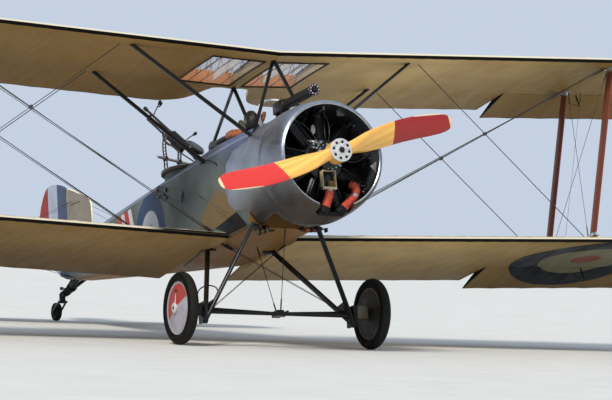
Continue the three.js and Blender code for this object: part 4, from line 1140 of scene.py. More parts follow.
# Back wall of the engine bay, with a stiffening ring and odd plates that catch the light
bulkheadRows = [(0.640, 0.150), (0.642, 0.524), (0.650, 0.532), (0.657, 0.524), (0.659, 0.150)]
settle(lathe("bulkhead", bulkheadRows), engineBlack)
oddPlates = [
    block("greyPlate", (0.200, 0.440, 0.436), (0.276, 0.446, 0.488), 0.002),
    block("tanPlate", (0.052, 0.440, 0.492), (0.084, 0.446, 0.520), 0.002),
    skin("sidePlate", [[v(0.430, y, -0.055), v(0.496, y, -0.010), v(0.488, y, -0.120)]
                       for y in (0.300, 0.304)]),
    lathe("ovalPlate", [(0.352, 1), (0.357, 1)], 20,
          v(-0.095, 0, 0.271), one=v(0.021, 0, 0), other=v(0, 0, 0.044)),
]
settle(joined("oddPlates", oddPlates), platePaint)
unionPlaces = [  # small bright unions left of the nose case
    (-0.176, 0.142), (-0.150, 0.118), (-0.128, 0.146), (-0.100, 0.110), (-0.078, 0.136), (-0.150, 0.086),
    (-0.118, 0.082),
]
cluster = [bar("union", [(x, 0.300, z), (x + 0.010, 0.270, z - 0.004), (x + 0.014, 0.262, z - 0.005)],
               [0.013, 0.013, 0.008], 6) for x, z in unionPlaces]
unionGuide = [(-0.180, 0.30, 0.150), (-0.140, 0.262, 0.132), (-0.100, 0.258, 0.120), (-0.060, 0.27, 0.128)]
cluster.append(bar("unionPipe", curveThrough(unionGuide), 0.007, 8))
settle(joined("unionCluster", cluster), brightMetal, angle=30)
print("engine ready")


# Propeller: a blade lofted on its swept centre line, turned over for the other side
blade = {"y": 0.074, "sides": 28, "rounder": 1.25, "flatter": 0.75, "flatFrom": 0.25}
bladeRows = [  # reach, angle of the centre line, chord, thickness, pitch
    (0.060, 20.0, 0.112, 0.104, 56), (0.110, 20.1, 0.118, 0.098, 52), (0.150, 20.2, 0.130, 0.090, 48),
    (0.210, 20.3, 0.160, 0.077, 43), (0.290, 20.3, 0.196, 0.064, 38), (0.400, 20.2, 0.212, 0.051, 33),
    (0.520, 20.0, 0.217, 0.041, 29), (0.680, 19.5, 0.216, 0.033, 24), (0.840, 18.6, 0.212, 0.026, 21),
    (0.980, 17.6, 0.202, 0.021, 18.5), (1.080, 17.0, 0.186, 0.017, 17), (1.140, 16.7, 0.166, 0.014, 16),
    (1.185, 16.5, 0.134, 0.012, 15.5), (1.212, 16.4, 0.096, 0.009, 15), (1.226, 16.3, 0.050, 0.006, 15),
]


def bladeModel():
    fine = []
    for a, b in zip(bladeRows, bladeRows[1:]):
        fine += [[a[k] + (b[k] - a[k]) * t for k in range(5)] for t in (0, 0.5)]
    fine.append(bladeRows[-1])
    rings = []
    for reach, angle, chord, thick, pitch in fine:
        tilt, twist = radians(angle), radians(pitch)
        centre = v(reach * cos(tilt), blade["y"], reach * sin(tilt))
        over = v(-sin(tilt), 0, cos(tilt))
        front = blade["flatter"] if reach > blade["flatFrom"] else 1
        ring = []
        for a in angles(blade["sides"]):
            wide = cos(a) * chord / 2
            full = sin(a) * thick / 2 * (blade["rounder"] if sin(a) < 0 else front)
            ring.append(centre + over * (wide * cos(twist) + full * sin(twist))
                        + v(0, full * cos(twist) - wide * sin(twist), 0))
        rings.append(ring)
    return skin("blade", rings)


firstBlade = bladeModel()
secondBlade = copyOf(firstBlade, "otherBlade", Matrix.Rotation(pi, 4, "Y"))
bossRows = [(0.016, 0.060), (0.014, 0.098), (0.018, 0.104), (0.128, 0.104), (0.133, 0.098), (0.133, 0.050)]
propellerParts = [firstBlade, secondBlade, lathe("boss", bossRows)]
settle(joined("propellerBlades", propellerParts), bladeFinish, "propeller", ("propeller",), 40)

# Hub plate with its ring of bolts, dark discs between them that stand for the holes as painted shade, and the
# centre nut
hub = {"bolts": 8, "circle": 0.076}
hubRows = [
    (0.0135, 0.040), (0.0135, 0.107), (0.004, 0.107), (0.000, 0.103), (0.000, 0.060), (-0.003, 0.054),
    (-0.003, 0.034),
]
boltShape = {"places": (0.004, -0.004, -0.008), "radii": [0.0125, 0.0125, 0.009]}
holeShape = {"places": (0.004, -0.0004, -0.0010), "radii": [0.0140, 0.0140, 0.012], "sides": 16}
edges = [lathe("hubPlate", hubRows), *nutRing("bolt", hub["bolts"], hub["circle"], start=0.3, **boltShape)]
edges.append(lathe("nutRing", [(0.001, 0.026), (-0.006, 0.027), (-0.006, 0.036), (0.001, 0.038)], 32))
# The holes are dark discs: painted shade; the centre nut and pin are dark steel
dark = [
    *nutRing("hole", hub["bolts"], hub["circle"], start=0.8, **holeShape),
    bar("centreNut", [(0, 0.002, 0), (0, -0.012, 0), (0, -0.016, 0)], [0.030, 0.029, 0.024], 6),
    bar("centrePin", [(0, -0.010, 0), (0, -0.022, 0), (0, -0.024, 0)], [0.016, 0.015, 0.012], 16),
]
settle(joined("hubPlateFace", edges), hubSteel, "propeller", ("hub_plate",), 30)
settle(joined("hubNutAndHoleShade", dark), gunSteel, "propeller")
print("propeller ready")


# Cooler: an open cream box with thin fins low on one side, and a thick lower lip
cooler = {"x0": -0.072, "x1": 0.066, "y0": 0.268, "y1": 0.322, "z0": -0.296, "z1": -0.120, "wall": 0.009}
x0, x1, y0, y1, z0, z1, wall = cooler.values()
walls = [
    block("coolerTop", (x0, y0, z1 - wall), (x1, y1, z1)),
    block("coolerLip", (x0, y0 - 0.004, z0), (x1, y1, z0 + 0.022)),
    block("coolerLeft", (x0, y0, z0), (x0 + wall, y1, z1)),
    block("coolerRight", (x1 - wall, y0, z0), (x1, y1, z1)),
    block("coolerStem", (-0.034, 0.318, -0.230), (0.006, 0.3597, -0.140)),
]
settle(joined("coolerFrame", walls), creamPaint, stands=("cooler",))
backWall = block("coolerDark", (x0 + 0.004, 0.308, z0 + 0.004), (x1 - 0.004, 0.320, z1 - 0.004), 0.001)
settle(backWall, engineBlack)
coolerFins = {"count": 9, "first": 0.062, "pitch": 0.0075, "thick": 0.002}
fins = []
for k in range(coolerFins["count"]):
    x = x0 + coolerFins["first"] + coolerFins["pitch"] * k
    fins.append(block("fin", (x, 0.276, z0 + 0.024), (x + coolerFins["thick"], 0.310, z0 + 0.080), 0))
settle(joined("coolerFins", fins), brassMetal, angle=20)

# Two soft hoses with black cuffs, a metal band and a silver neck
hoses = {  # guide points and radius
    "port": ([(0.232, 0.322, -0.226), (0.260, 0.300, -0.258), (0.264, 0.284, -0.300), (0.234, 0.274, -0.362),
              (0.168, 0.264, -0.420), (0.092, 0.256, -0.484)], 0.038),
    "starboard": ([(-0.001, 0.290, -0.318), (-0.014, 0.286, -0.367),
                   (-0.044, 0.272, -0.430), (-0.070, 0.258, -0.486)], 0.041),
}
for label, (guide, radius) in hoses.items():
    route = curveThrough(guide, 7)
    hose = bar("hose" + label.capitalize(), route,
               [radius * (1 + 0.05 * sin(k * 2.1)) for k in range(len(route))], 24)
    settle(hose, hoseRubber, stands=(f"hose_{label}",), angle=60)
elbow = curveThrough([(0.268, 0.420, -0.236), (0.258, 0.372, -0.234),
                      (0.242, 0.330, -0.228), (0.250, 0.308, -0.244)], 4)
cuffs = [
    bar("elbow", elbow, 0.041, 20),
    bar("cuffPort", [(0.114, 0.256, -0.466), (0.104, 0.258, -0.476),
                     (0.068, 0.262, -0.514), (0.060, 0.263, -0.522)],
        [0.039, 0.045, 0.045, 0.038], 20),
    bar("cuffStarboard", [(-0.060, 0.256, -0.468), (-0.067, 0.258, -0.482),
                          (-0.090, 0.263, -0.520), (-0.094, 0.264, -0.526)],
        [0.042, 0.049, 0.049, 0.040], 20),
    block("joinBar", (-0.138, 0.240, -0.540), (0.120, 0.300, -0.508), 0.012),
]
settle(joined("hoseCuffs", cuffs), softBlack, angle=40)
bandAt = Vector((0.239, 0.275, -0.353))
bands = [
    bar("hoseBand", [bandAt + v(0.010, 0, 0.010), bandAt, bandAt - v(0.012, 0, 0.011)],
        [0.0405, 0.0412, 0.0405], 24),
    bar("silverNeck", [(-0.002, 0.290, -0.2965), (-0.002, 0.290, -0.310),
                       (-0.004, 0.289, -0.322)], [0.032, 0.036, 0.039], 24),
]
settle(joined("hoseBands", bands), brightMetal, angle=40)
print("cooler and hoses ready")


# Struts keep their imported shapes; cuffs and plates are added where they meet wing and body
outerX, strutX = 1.450, 3.680
for label in ("port", "starboard"):
    for place in ("front", "rear"):
        refine(f"{place}_wing_strut_{label}", strutVarnish, angle=40)
        refine(f"outer_{place}_strut_{label}", blackPaint, angle=40)
        refine(f"{place}_wires_{label}", wireSteel, angle=40)
    refine(f"gear_vee_{label}", blackPaint, angle=40)
for node in ("centre_front_vee", "centre_rear_vee", "axle", "tail_bracket"):
    refine(node, blackPaint, angle=40)
refine("tail_fork", blackPaint, "tail_fork", angle=40)

# Clamps, a bent arm with an eye and a peg on the tail leg
tailLeg = {"top": v(0, 6.380, 0.120), "foot": v(0, 6.840, 0.046),
           "clamps": ((0.42, 0.052), (0.60, 0.043), (0.78, 0.040))}
legLine = (tailLeg["foot"] - tailLeg["top"]).normalized()
legParts = []
for share, radius in tailLeg["clamps"]:
    at = tailLeg["top"].lerp(tailLeg["foot"], share)
    legParts.append(bar("legClamp", [at - legLine * 0.011, at, at + legLine * 0.011], radius, 20))
    for side in (-1, 1):
        lug = at + v(side * radius * 0.94, 0, 0)
        legParts.append(bar("clampBolt", [lug - v(0, 0, 0.022), lug, lug + v(0, 0, 0.022)], 0.008, 8))
legParts += [
    bar("legArm", [v(0, 6.690, 0.070), v(0, 6.780, 0.112), v(0, 6.868, 0.134)], [0.014, 0.011, 0.010], 10),
    bar("armEye", [v(-0.016, 6.868, 0.134), v(0, 6.868, 0.134), v(0.016, 6.868, 0.134)], 0.018, 12),
    bar("legPeg", [v(0, 6.620, 0.070), v(0, 6.624, 0.046), v(0, 6.630, 0.026)], [0.016, 0.013, 0.009], 8),
]
settle(joined("tailLegFittings", legParts), blackPaint)


# Metal shoe where a wooden strut meets a wing: a plate with a tapered cup and two eyes
shoe = {"half": 0.064, "wide": 0.021, "rows": ((0.0, 1.10), (0.008, 1.08), (0.020, 1.00), (0.034, 0.94))}


def strutShoe(at, along):
    reach = v(0.030, shoe["half"] + 0.012, 0.003)
    cup = skin("cup", [
        [at + along * h + v(w * shoe["wide"] * cos(a), w * shoe["half"] * sin(a), 0) for a in angles(16)]
        for h, w in shoe["rows"]
    ])
    pieces = [block("shoePlate", at - reach, at + reach, 0.0015), cup]
    for side in (-1, 1):
        eye = [at + v(side * 0.02, 0, 0.004 * along.z), at + v(side * 0.05, 0, 0.012 * along.z)]
        pieces.append(bar("eye", eye, 0.007, 8))
    return pieces


shoes = []
for back in spars.values():
    foot, head = wingPoint(lower, strutX, back, 0.045), wingPoint(upper, strutX, back, 0.025)
    line = (head - foot).normalized()
    lowTop = foot + line * ((onSurface(lower, strutX, back).z - foot.z) / line.z)
    highUnder = head - line * ((head.z - onSurface(upper, strutX, back, 1).z) / line.z)
    shoes += strutShoe(lowTop, line) + strutShoe(highUnder, -line)
settlePair(joined("strutShoes", shoes), "strutShoes", brightMetal)


# Wires: thin rods with a barrel and fork at each end
def stay(name, a, b, radius, barrel):
    a, b = Vector(a), Vector(b)
    length = (b - a).length
    marks = [0, 0.02, 0.03, 0.11, 0.13]
    radii = [barrel * 0.8, barrel * 0.8, barrel, barrel, radius]
    shares = [m / length for m in marks] + [1 - m / length for m in reversed(marks)]
    return bar(name, [a.lerp(b, t) for t in shares], radii + radii[::-1], 8)


def wingStay(name, low, high, radius, barrel):
    return stay(name, onSurface(lower, *low), onSurface(upper, *high, 1), radius, barrel)


wires = []
for back in spars.values():
    for shift in (0.020, 0.055):
        wires.append(wingStay("flying", (wing["root"] + 0.06, back + shift),
                              (strutX - 0.05, back + shift), 0.0030, 0.0075))
    foot = v(0.345, 1.150 if back < 0.5 else 2.200, 0.420)
    wires.append(stay("centreCross", onSurface(upper, outerX, back, 1) + v(-0.02, 0.02, 0),
                      foot, 0.0022, 0.006))
for front, rear in (("front", "rear"), ("rear", "front")):
    step = 0.07 if front == "front" else -0.07
    wires.append(wingStay("incidence", (strutX, spars[front] + step),
                          (strutX, spars[rear] - step), 0.0024, 0.006))
foot = onSurface(lower, 3.86, aileron["hinge"] - 0.10)
head = onSurface(upper, 3.86, aileron["hinge"] - 0.08, 1)
wires.append(stay("aileronCable", foot + v(0, 0, 0.01), head, 0.0016, 0.005))
tailStays = [
    ((0.016, 6.20, 0.95), (1.10, 6.20, 0.478)), ((0.016, 6.45, 1.00), (1.10, 6.40, 0.476)),
    ((0.10, 6.18, 0.10), (1.15, 6.20, 0.430)), ((0.05, 6.45, 0.17), (1.15, 6.40, 0.430)),
]
wires += [stay("tailStay", a, b, 0.0020, 0.005) for a, b in tailStays]
settlePair(joined("braceWires", wires), "braceWires", wireSteel)

# Landing gear: corner plates, bungee boxes, cross wires and clamps
gear = {"foot": (0.755, 1.455, -1.285), "top": (0.322, -0.420),
        "tops": (1.235, 2.280), "clamps": (-0.020, 0.028, 0.076)}


def gussetAt(side):
    foot = Vector((gear["foot"][0] * side, *gear["foot"][1:]))
    legs = [Vector((gear["top"][0] * side, y, gear["top"][1])) for y in gear["tops"]]
    corners = [foot, foot.lerp(legs[0], 0.25), foot.lerp(legs[1], 0.22)]
    out = (corners[1] - corners[0]).cross(corners[2] - corners[0]).normalized() * 0.004
    return skin("gusset", [[p - out for p in corners], [p + out for p in corners]])


bungee = {"x": 0.712, "drop": 0.002, "turns": 9, "pitch": 0.004, "deep": 0.044, "high": 0.052, "cord": 0.0045}
gearParts = [gussetAt(1), gussetAt(-1)]
for side in (-1, 1):
    middle = v(side * bungee["x"], wheel["y"], wheel["z"] - bungee["drop"])
    for k in range(bungee["turns"]):
        x = bungee["pitch"] * (k - 4) * side
        ring = [middle + v(x, bungee["deep"] * cos(a), bungee["high"] * sin(a))
                for a in (*angles(24), 2 * pi)]
        gearParts.append(bar("bungee", ring, bungee["cord"], 6))
for x in (-gear["top"][0], gear["top"][0]):
    for y in gear["tops"]:
        gearParts.append(block("headPlate", (x - 0.030, y - 0.060, -0.452),
                               (x + 0.030, y + 0.080, -0.424), 0.008))
    gearParts.append(block("headLug", (x - 0.075, 2.250, -0.446), (x + 0.075, 2.290, -0.430), 0.005))
settle(joined("gearPlates", gearParts), blackPaint)
settle(block("shockBoxPort", (0.785, 1.425, -1.225), (0.898, 1.575, -1.105), 0.008),
       olivePaint)
settle(block("shockBoxStarboard", (-0.870, 1.440, -1.225), (-0.785, 1.575, -1.125), 0.008),
       blackPaint)
clamps = [block("clamp", (x - 0.009, 1.440, -1.212), (x + 0.009, 1.560, -1.168), 0.005)
          for x in gear["clamps"]]
settle(joined("barClamps", clamps), blackPaint)
gearStays = [  # two ends, radius
    ((-0.740, 1.440, -1.215), (0.330, 1.940, -0.432), 0.0026),
    ((-0.735, 1.470, -1.205), (0.330, 1.975, -0.432), 0.0026),
    ((0.740, 1.440, -1.215), (-0.300, 1.990, -0.432), 0.0026),
    ((0.735, 1.470, -1.205), (-0.300, 2.025, -0.432), 0.0026),
    ((-0.018, 1.500, -1.172), (0.100, 2.080, -0.436), 0.0034),
    ((0.028, 1.500, -1.172), (0.000, 1.240, -0.430), 0.0034),
]
gearCables = [  # guide points and radius
    ([(-0.400, 2.243, -0.452), (-0.384, 2.420, -0.474),
      (-0.368, 2.602, -0.478), (-0.352, 2.780, -0.482)], 0.0075),
    ([(-0.242, 2.016, -0.436), (-0.150, 2.100, -0.450), (-0.053, 2.207, -0.436)], 0.007),
    ([(-0.800, 1.500, -1.030), (-0.785, 1.500, -0.993), (-0.733, 1.500, -0.958), (-0.673, 1.500, -0.947),
      (-0.614, 1.500, -0.964), (-0.600, 1.490, -1.000)], 0.006),
]
gearWires = [stay("cross", a, b, radius, 0.007) for a, b, radius in gearStays]
gearWires += [bar("cable", curveThrough(guide), radius, 8) for guide, radius in gearCables]
settle(joined("gearWires", gearWires), blackPaint)


# Wheels: tyre with soft shoulders, coned cloth cover, hub cap, valve hole (a dark disc of painted shade) with
# its flap, and axle nut
tyreHalf = [  # radius and half width, from the bead to the tread
    (0.246, 0.028), (0.252, 0.040), (0.262, 0.047), (0.276, 0.0500), (0.290, 0.0500), (0.303, 0.047),
    (0.314, 0.041), (0.323, 0.032), (0.329, 0.021), (0.3325, 0.010), (0.3335, 0.0),
]
discHalf = [  # the same for the cover, from the hub to the rim
    (0.0175, 0.062), (0.046, 0.062), (0.056, 0.052), (0.140, 0.040), (0.226, 0.028), (0.232, 0.031),
    (0.243, 0.033), (0.246, 0.027),
]
capRows = [(0.0178, 0.060), (0.048, 0.060), (0.050, 0.066), (0.044, 0.073), (0.030, 0.076), (0.0178, 0.076)]
stemRows = [(0.0405, 0.142, 0.010, 0.006), (0.0490, 0.090, 0.000, 0.013), (0.0590, 0.045, -0.010, 0.020)]


# The other half of an outline, so that it goes from one side to the other
def bothHalves(rows, middle=0):
    return [(r, -h) for r, h in rows] + [(r, h) for r, h in reversed(rows[:len(rows) - middle])]


def spunWheel(name, centre, rows, steps):
    x, y, z = centre
    return spun(name, [v(x + h, y, z + r) for r, h in rows], centre, (1, 0, 0), steps)


for label, side in (("port", 1), ("starboard", -1)):
    centre = (wheel["x"] * side, wheel["y"], wheel["z"])
    middle = Vector(centre)
    body = f"wheel_{label}"
    tyre = spunWheel(f"tyreRubber_{label}", centre, bothHalves(tyreHalf, 1), 72)
    disc = spunWheel(f"wheelCover_{label}", centre, bothHalves(discHalf), 72)
    cap = spunWheel("cap", centre, [(r, h * side) for r, h in capRows], 32)
    settle(tyre, tyreFinish, body, (f"tyre_{label}",), 60)
    settle(disc, discFinish, body, (f"wheel_{label}",), 25)
    # The valve hole is a black disc: painted shade
    hole = middle + v(side * 0.0385, 0.012, 0.150)
    places = [hole - v(side * 0.004, 0, 0), hole + v(side * 0.0005, 0, -0.0001),
              hole + v(side * 0.002, 0, -0.0002)]
    settle(bar(f"valveHoleShade_{label}", places, [0.024, 0.024, 0.022], 24), blackPaint, body)
    stem = skin("valveStem", [
        [middle + v(side * h, aft + w * cos(a), up + w * 0.3 * sin(a))
         for a in angles(12)] for h, up, aft, w in stemRows
    ])
    settle(joined(f"hubCap_{label}", [cap, stem]), hubSteel, body)
    nut = bar(f"axleNut_{label}", [middle + v(side * h, 0, 0) for h in (0.062, 0.0765, 0.0768)],
              [0.0172, 0.0172, 0.014], 6)
    settle(nut, hubSteel)
print("gear ready")

# Tail wheel with a ribbed hub
tailWheel = {"y": 7.050, "radius": 0.099}
slope = radians(stance["angle"])
height = (tailWheel["radius"] - stance["hubHeight"] + tailWheel["y"] * sin(slope)) / cos(slope)
tailTyreHalf = [
    (0.0094, 0.038), (0.036, 0.038), (0.046, 0.027), (0.058, 0.029), (0.066, 0.0335), (0.080, 0.034),
    (0.091, 0.028), (0.097, 0.016), (0.099, 0.0),
]
tyre = spunWheel("tailWheelTyre", (0, tailWheel["y"], height), bothHalves(tailTyreHalf, 1), 48)
settle(tyre, tyreFinish, "tail_wheel", ("tail_wheel",), 40)

# Tail surfaces in cloth
refine("tailplane", tailLinen, angle=35)
refine("fin", finLinen, angle=35)
for node in ("elevator_port", "elevator_starboard"):
    refine(node, tailLinen, node, 35)
refine("rudder", rudderFinish, "rudder", 35)
refine("stern_post", frameWood, angle=35)
for node in ("pilot_seat", "instrument_panel", "gunner_seat"):
    refine(node, frameWood, angle=35, bevel=0.004)
finEdge = [(5.905, 0.500), (5.905, 0.690), (5.913, 0.835), (5.950, 0.905),
           (6.020, 0.958), (6.260, 1.050), (6.500, 1.144), (6.572, 1.163)]
edgeBar = bar("finEdge", [(0, y - 0.002, z + 0.002) for y, z in finEdge], [0.010] * len(finEdge), 12)
settle(edgeBar, paleTape, angle=60)
print("tail ready")


# Rear gun, modelled level and then raised on its mount and turned with the ring
mount = {"y": 3.150, "out": 0.300, "low": 0.722, "pivot": 1.006, "turn": 28, "rise": 44.4, "head": 0.044}


def gunPoint(x, along, up):
    return v(x, mount["y"] + mount["out"] + along, mount["pivot"] + up)


def gunBlock(name, low, high, bevel=0.003):
    return block(name, gunPoint(*low), gunPoint(*high), bevel)


def gunBar(name, places, radius, sides=12):
    return bar(name, [gunPoint(*p) for p in places], radius, sides)


def turnedOut(piece):
    return turned(piece, (0, mount["y"], 0), (0, 0, 1), mount["turn"])


def raised(piece):
    return turnedOut(turned(piece, gunPoint(0, 0, 0), (1, 0, 0), mount["rise"]))


quadrantLine = [(0.030, 0.125 * cos(radians(a)), 0.125 * sin(radians(a))) for a in range(195, 346, 15)]
gunParts = [
    gunBlock("receiver", (-0.022, -0.410, -0.030), (0.022, -0.030, 0.028)),
    gunBlock("topCover", (-0.015, -0.250, 0.026), (0.015, -0.040, 0.038)),
    gunBlock("sidePlate", (-0.0255, -0.380, -0.014), (0.0255, -0.090, 0.010), 0.002),
    gunBlock("tailPiece", (-0.012, -0.500, -0.040), (0.012, -0.405, 0.004)),
    gunBar("barrel", [(0, -0.040, 0), (0, 0.100, 0), (0, 0.400, 0),
                      (0, 0.404, 0), (0, 0.440, 0), (0, 0.448, 0)],
           [0.0150, 0.0135, 0.0125, 0.018, 0.022, 0.018], 16),
    gunBar("gasTube", [(0, -0.180, -0.066), (0, 0.100, -0.066), (0, 0.345, -0.066)], 0.0105),
    gunBar("pivotPin", [(-mount["head"] + 0.002, 0, 0), (0, 0, 0), (mount["head"] - 0.002, 0, 0)], 0.009),
    *(gunBlock("cradle", (x, -0.150, -0.076), (x + 0.008, 0.026, 0.012)) for x in (0.023, -0.031)),
    gunBlock("caseBox", (-0.030, -0.240, -0.096), (0.030, -0.110, -0.034), 0.008),
    gunBlock("rearBracket", (-0.009, -0.188, -0.074), (0.009, -0.168, -0.022)),
    gunBlock("frontBracket", (-0.008, 0.322, -0.074), (0.008, 0.342, -0.004)),
    gunBar("frontPost", [(0, 0.300, 0.008), (0, 0.312, 0.070), (0.004, 0.322, 0.140)], 0.0055, 8),
    gunBar("frontBead", [(0, 0.318, 0.120), (0.004, 0.324, 0.160), (0.004, 0.326, 0.172)],
           [0.008, 0.018, 0.011]),
    gunBar("frontFork", [(0.030, 0.318, 0.104), (0.036, 0.322, 0.140),
                         (0.038, 0.324, 0.156)], [0.006, 0.012, 0.008]),
    gunBar("forkStep", [(0, 0.312, 0.100), (0.012, 0.314, 0.102), (0.026, 0.316, 0.106)], 0.005, 8),
    gunBar("rearPost", [(0, -0.205, 0.030), (0.020, -0.212, 0.080), (0.044, -0.222, 0.128)], 0.0055, 8),
    gunBar("rearBead", [(0.040, -0.220, 0.116), (0.054, -0.226, 0.148),
                        (0.060, -0.229, 0.160)], [0.008, 0.018, 0.012]),
    gunBar("quadrant", quadrantLine, 0.010, 8),
    gunBar("quadrantArm", [(0.030, 0, -0.010), (0.030, -0.040, -0.070), (0.030, -0.060, -0.110)], 0.008, 8),
]
drumCentre = gunPoint(0, -0.350, 0)


def drumRing(name, rows):
    return uprightLathe(name, rows, 48, drumCentre)


drumRows = [  # height and radius
    (0.026, 0.030), (0.028, 0.096), (0.034, 0.103), (0.052, 0.104), (0.060, 0.099), (0.066, 0.094),
    (0.070, 0.060), (0.074, 0.030),
]
drumRibRows = [(0.036, 0.104), (0.056, 0.103), (0.0705, 0.062)]
gunParts.append(drumRing("drum", drumRows))
for a in angles(16):
    out = v(cos(a), sin(a), 0)
    rib = [drumCentre + out * r + v(0, 0, h) for h, r in drumRibRows]
    gunParts.append(bar("drumRib", rib, 0.003, 6))
settle(raised(joined("rearGunSteel", gunParts)), gunSteel, "rear_gun", ("rear_gun",))
drumEdge = drumRing("rearGunDrumEdge",
                    [(0.066, 0.094), (0.064, 0.098), (0.067, 0.099), (0.071, 0.094), (0.070, 0.088)])
settle(raised(drumEdge), brownLeather, "rear_gun")

# Gun ring: plate with a pale top edge, a cross tube and two laddered bows
ringSizes = {"sides": 96, "edge": 0.350, "edgeTop": 0.5535, "bead": 0.0045, "tube": 0.014, "tubeEnd": 0.228}
ringRows = [  # height and radius
    (0.522, 0.302), (0.548, 0.302), (0.552, 0.306), (0.552, 0.351), (0.548, 0.355), (0.526, 0.355),
    (0.522, 0.351), (0.521, 0.304),
]
ringMiddle = v(0, mount["y"], 0)
ringPlate = uprightLathe("plate", ringRows, ringSizes["sides"], ringMiddle, ends=False)
bows = {
    "line": [(0.104, 0.548), (0.110, 0.722), (0.120, 0.830), (0.104, 0.930), (0.058, 0.994)], "apart": 0.017,
    "tube": 0.0075, "rung": 0.018, "rungTube": 0.004, "head": 0.024, "headSteps": (0, 0.006, 0.012),
    "prop": [(0.110, 0, 0.905), (0.180, -0.250, 0.720), (0.250, -0.500, 0.553)],
}
brownParts = [joinEnds(ringPlate)]
bowY = mount["y"] + mount["out"]
for side in (-1, 1):
    guide = [v(x * side, bowY, z) for x, z in bows["line"]]
    for shift in (-bows["apart"], bows["apart"]):
        line = curveThrough([p + v(0, shift, 0) for p in guide], 6)
        brownParts.append(bar("bow", line, bows["tube"], 10))
    half = v(0, bows["rung"], 0)
    for point in curveThrough(guide, 3)[1:-1]:
        brownParts.append(bar("rung", [point - half, point, point + half], bows["rungTube"], 6))
    prop = [v(x * side, bowY + y, z) for x, y, z in bows["prop"]]
    brownParts.append(bar("bowProp", prop, bows["tube"], 8))
    at = v(side * mount["head"], bowY, mount["pivot"])
    head = [at + v(side * h, 0, 0) for h in bows["headSteps"]]
    brownParts.append(bar("bowHead", head, bows["head"], 16))
    x = side * 0.108
    brownParts.append(block("tubeClamp", (x - 0.020, bowY - 0.022, 0.700),
                            (x + 0.020, bowY + 0.022, 0.744), 0.006))
tubeLine = [(x, bowY, mount["low"]) for x in (-ringSizes["tubeEnd"], 0, ringSizes["tubeEnd"])]
paleEdge = [ringMiddle + v(ringSizes["edge"] * cos(a), ringSizes["edge"] * sin(a), ringSizes["edgeTop"])
            for a in (*angles(ringSizes["sides"]), 0)]
paleParts = [
    bar("crossTube", tubeLine, ringSizes["tube"], 16), bar("paleEdge", paleEdge, ringSizes["bead"], 6),
]
settle(turnedOut(joined("gunRingFrame", brownParts)), ringBrown, "gun_ring", ("gun_ring",), 30)
settle(turnedOut(joined("gunRingTube", paleParts)), paleAlloy, "gun_ring")

# Front gun: slotted jacket with a pierced muzzle, body, brass union and two legs
jacket = {"front": v(0, 0.464, 0.679), "back": v(0, 1.090, 0.692), "ridges": 12, "bore": 0.0405, "spots": 9}
jacketLine = (jacket["back"] - jacket["front"]).normalized()
jacketSide, jacketUp = across(jacketLine)
jacketRows = [
    (-0.002, 0.030), (-0.002, 0.050), (0.002, 0.054), (0.024, 0.054), (0.028, 0.046), (0.030, 0.0405),
    (0.600, 0.0405), (0.606, 0.047), (0.626, 0.047), (0.640, 0.040),
]
muzzleRows = [(-0.018, 0.012), (-0.018, 0.022), (0.010, 0.024), (0.020, 0.020)]


def jacketPoint(along, radius, angle):
    out = jacketSide * radius * cos(angle) + jacketUp * radius * sin(angle)
    return jacket["front"] + jacketLine * along + out


def jacketRing(name, rows, sides):
    return lathe(name, rows, sides, jacket["front"], jacketLine, jacketSide, jacketUp)


frontParts = [
    jacketRing("jacket", jacketRows, 36), jacketRing("muzzle", muzzleRows, 20),
    block("gunBody", (-0.040, 1.085, 0.640), (0.040, 1.285, 0.748), 0.006),
    block("gunLid", (-0.030, 1.100, 0.744), (0.030, 1.250, 0.758), 0.005),
    bar("grips", [(0, 1.280, 0.720), (0, 1.310, 0.700), (0, 1.318, 0.672)], 0.010, 10),
    block("frontLeg", (-0.032, 1.102, 0.512), (0.032, 1.142, 0.648), 0.004),
    block("rearLeg", (-0.028, 1.217, 0.512), (0.028, 1.252, 0.648), 0.004),
]
for a in angles(jacket["ridges"]):
    ridge = [jacketPoint(t, jacket["bore"], a) for t in (0.034, 0.200, 0.400, 0.596)]
    frontParts.append(bar("ridge", ridge, 0.0065, 6))
settle(joined("frontGunSteel", frontParts), gunSteel, stands=("front_gun",), angle=30)
spots = []
for a in angles(jacket["spots"]):
    muzzleSpot = [jacketPoint(t, 0.041, a) for t in (0.000, -0.0026, -0.0034)]
    rimSpot = [jacketPoint(0.013, r, a + 0.3) for r in (0.053, 0.0548, 0.0552)]
    spots += [bar("spot", muzzleSpot, [0.0075, 0.0075, 0.006], 10),
              bar("spot", rimSpot, [0.0065, 0.0065, 0.005], 10)]
settle(joined("muzzleSpots", spots), muzzlePink)
unionLine = [(-0.030, 1.068, 0.735), (-0.030, 1.082, 0.748), (-0.030, 1.090, 0.756)]
settle(bar("gunUnion", unionLine, [0.014, 0.016, 0.010], 12), brassMetal)

# Windscreen hoop: a broad white band leaning back to its top
hoop = {"wide": 0.017, "thick": 0.014, "sides": 16, "middle": 0.560}
hoopGuide = [(0.184, 1.240, 0.500), (0.186, 1.266, 0.600),
             (0.172, 1.296, 0.700), (0.114, 1.318, 0.774), (0, 1.325, 0.799)]
hoopHalf = [v(*p) for p in hoopGuide]
hoopLine = curveThrough(hoopHalf + [v(-p.x, p.y, p.z) for p in reversed(hoopHalf[:-1])], 6)
hoopRings = []
for before, point, after in zip(hoopLine[:1] + hoopLine, hoopLine, hoopLine[1:] + hoopLine[-1:]):
    along = (after - before).normalized()
    out = v(point.x, 0, point.z - hoop["middle"])
    out = (out - along * out.dot(along)).normalized()
    wide = along.cross(out).normalized()
    hoopRings.append([
        point + wide * (hoop["wide"] * cos(a)) + out * (hoop["thick"] * sin(a)) for a in angles(hoop["sides"])
    ])
settle(skin("windscreenBand", hoopRings), whitePaint, stands=("windscreen",), angle=60)

# Padded rim round the pilot's opening, sewn in short channels, with rolls of leather and cloth beside it
rimPad = refine("coaming", darkLeather, angle=60)


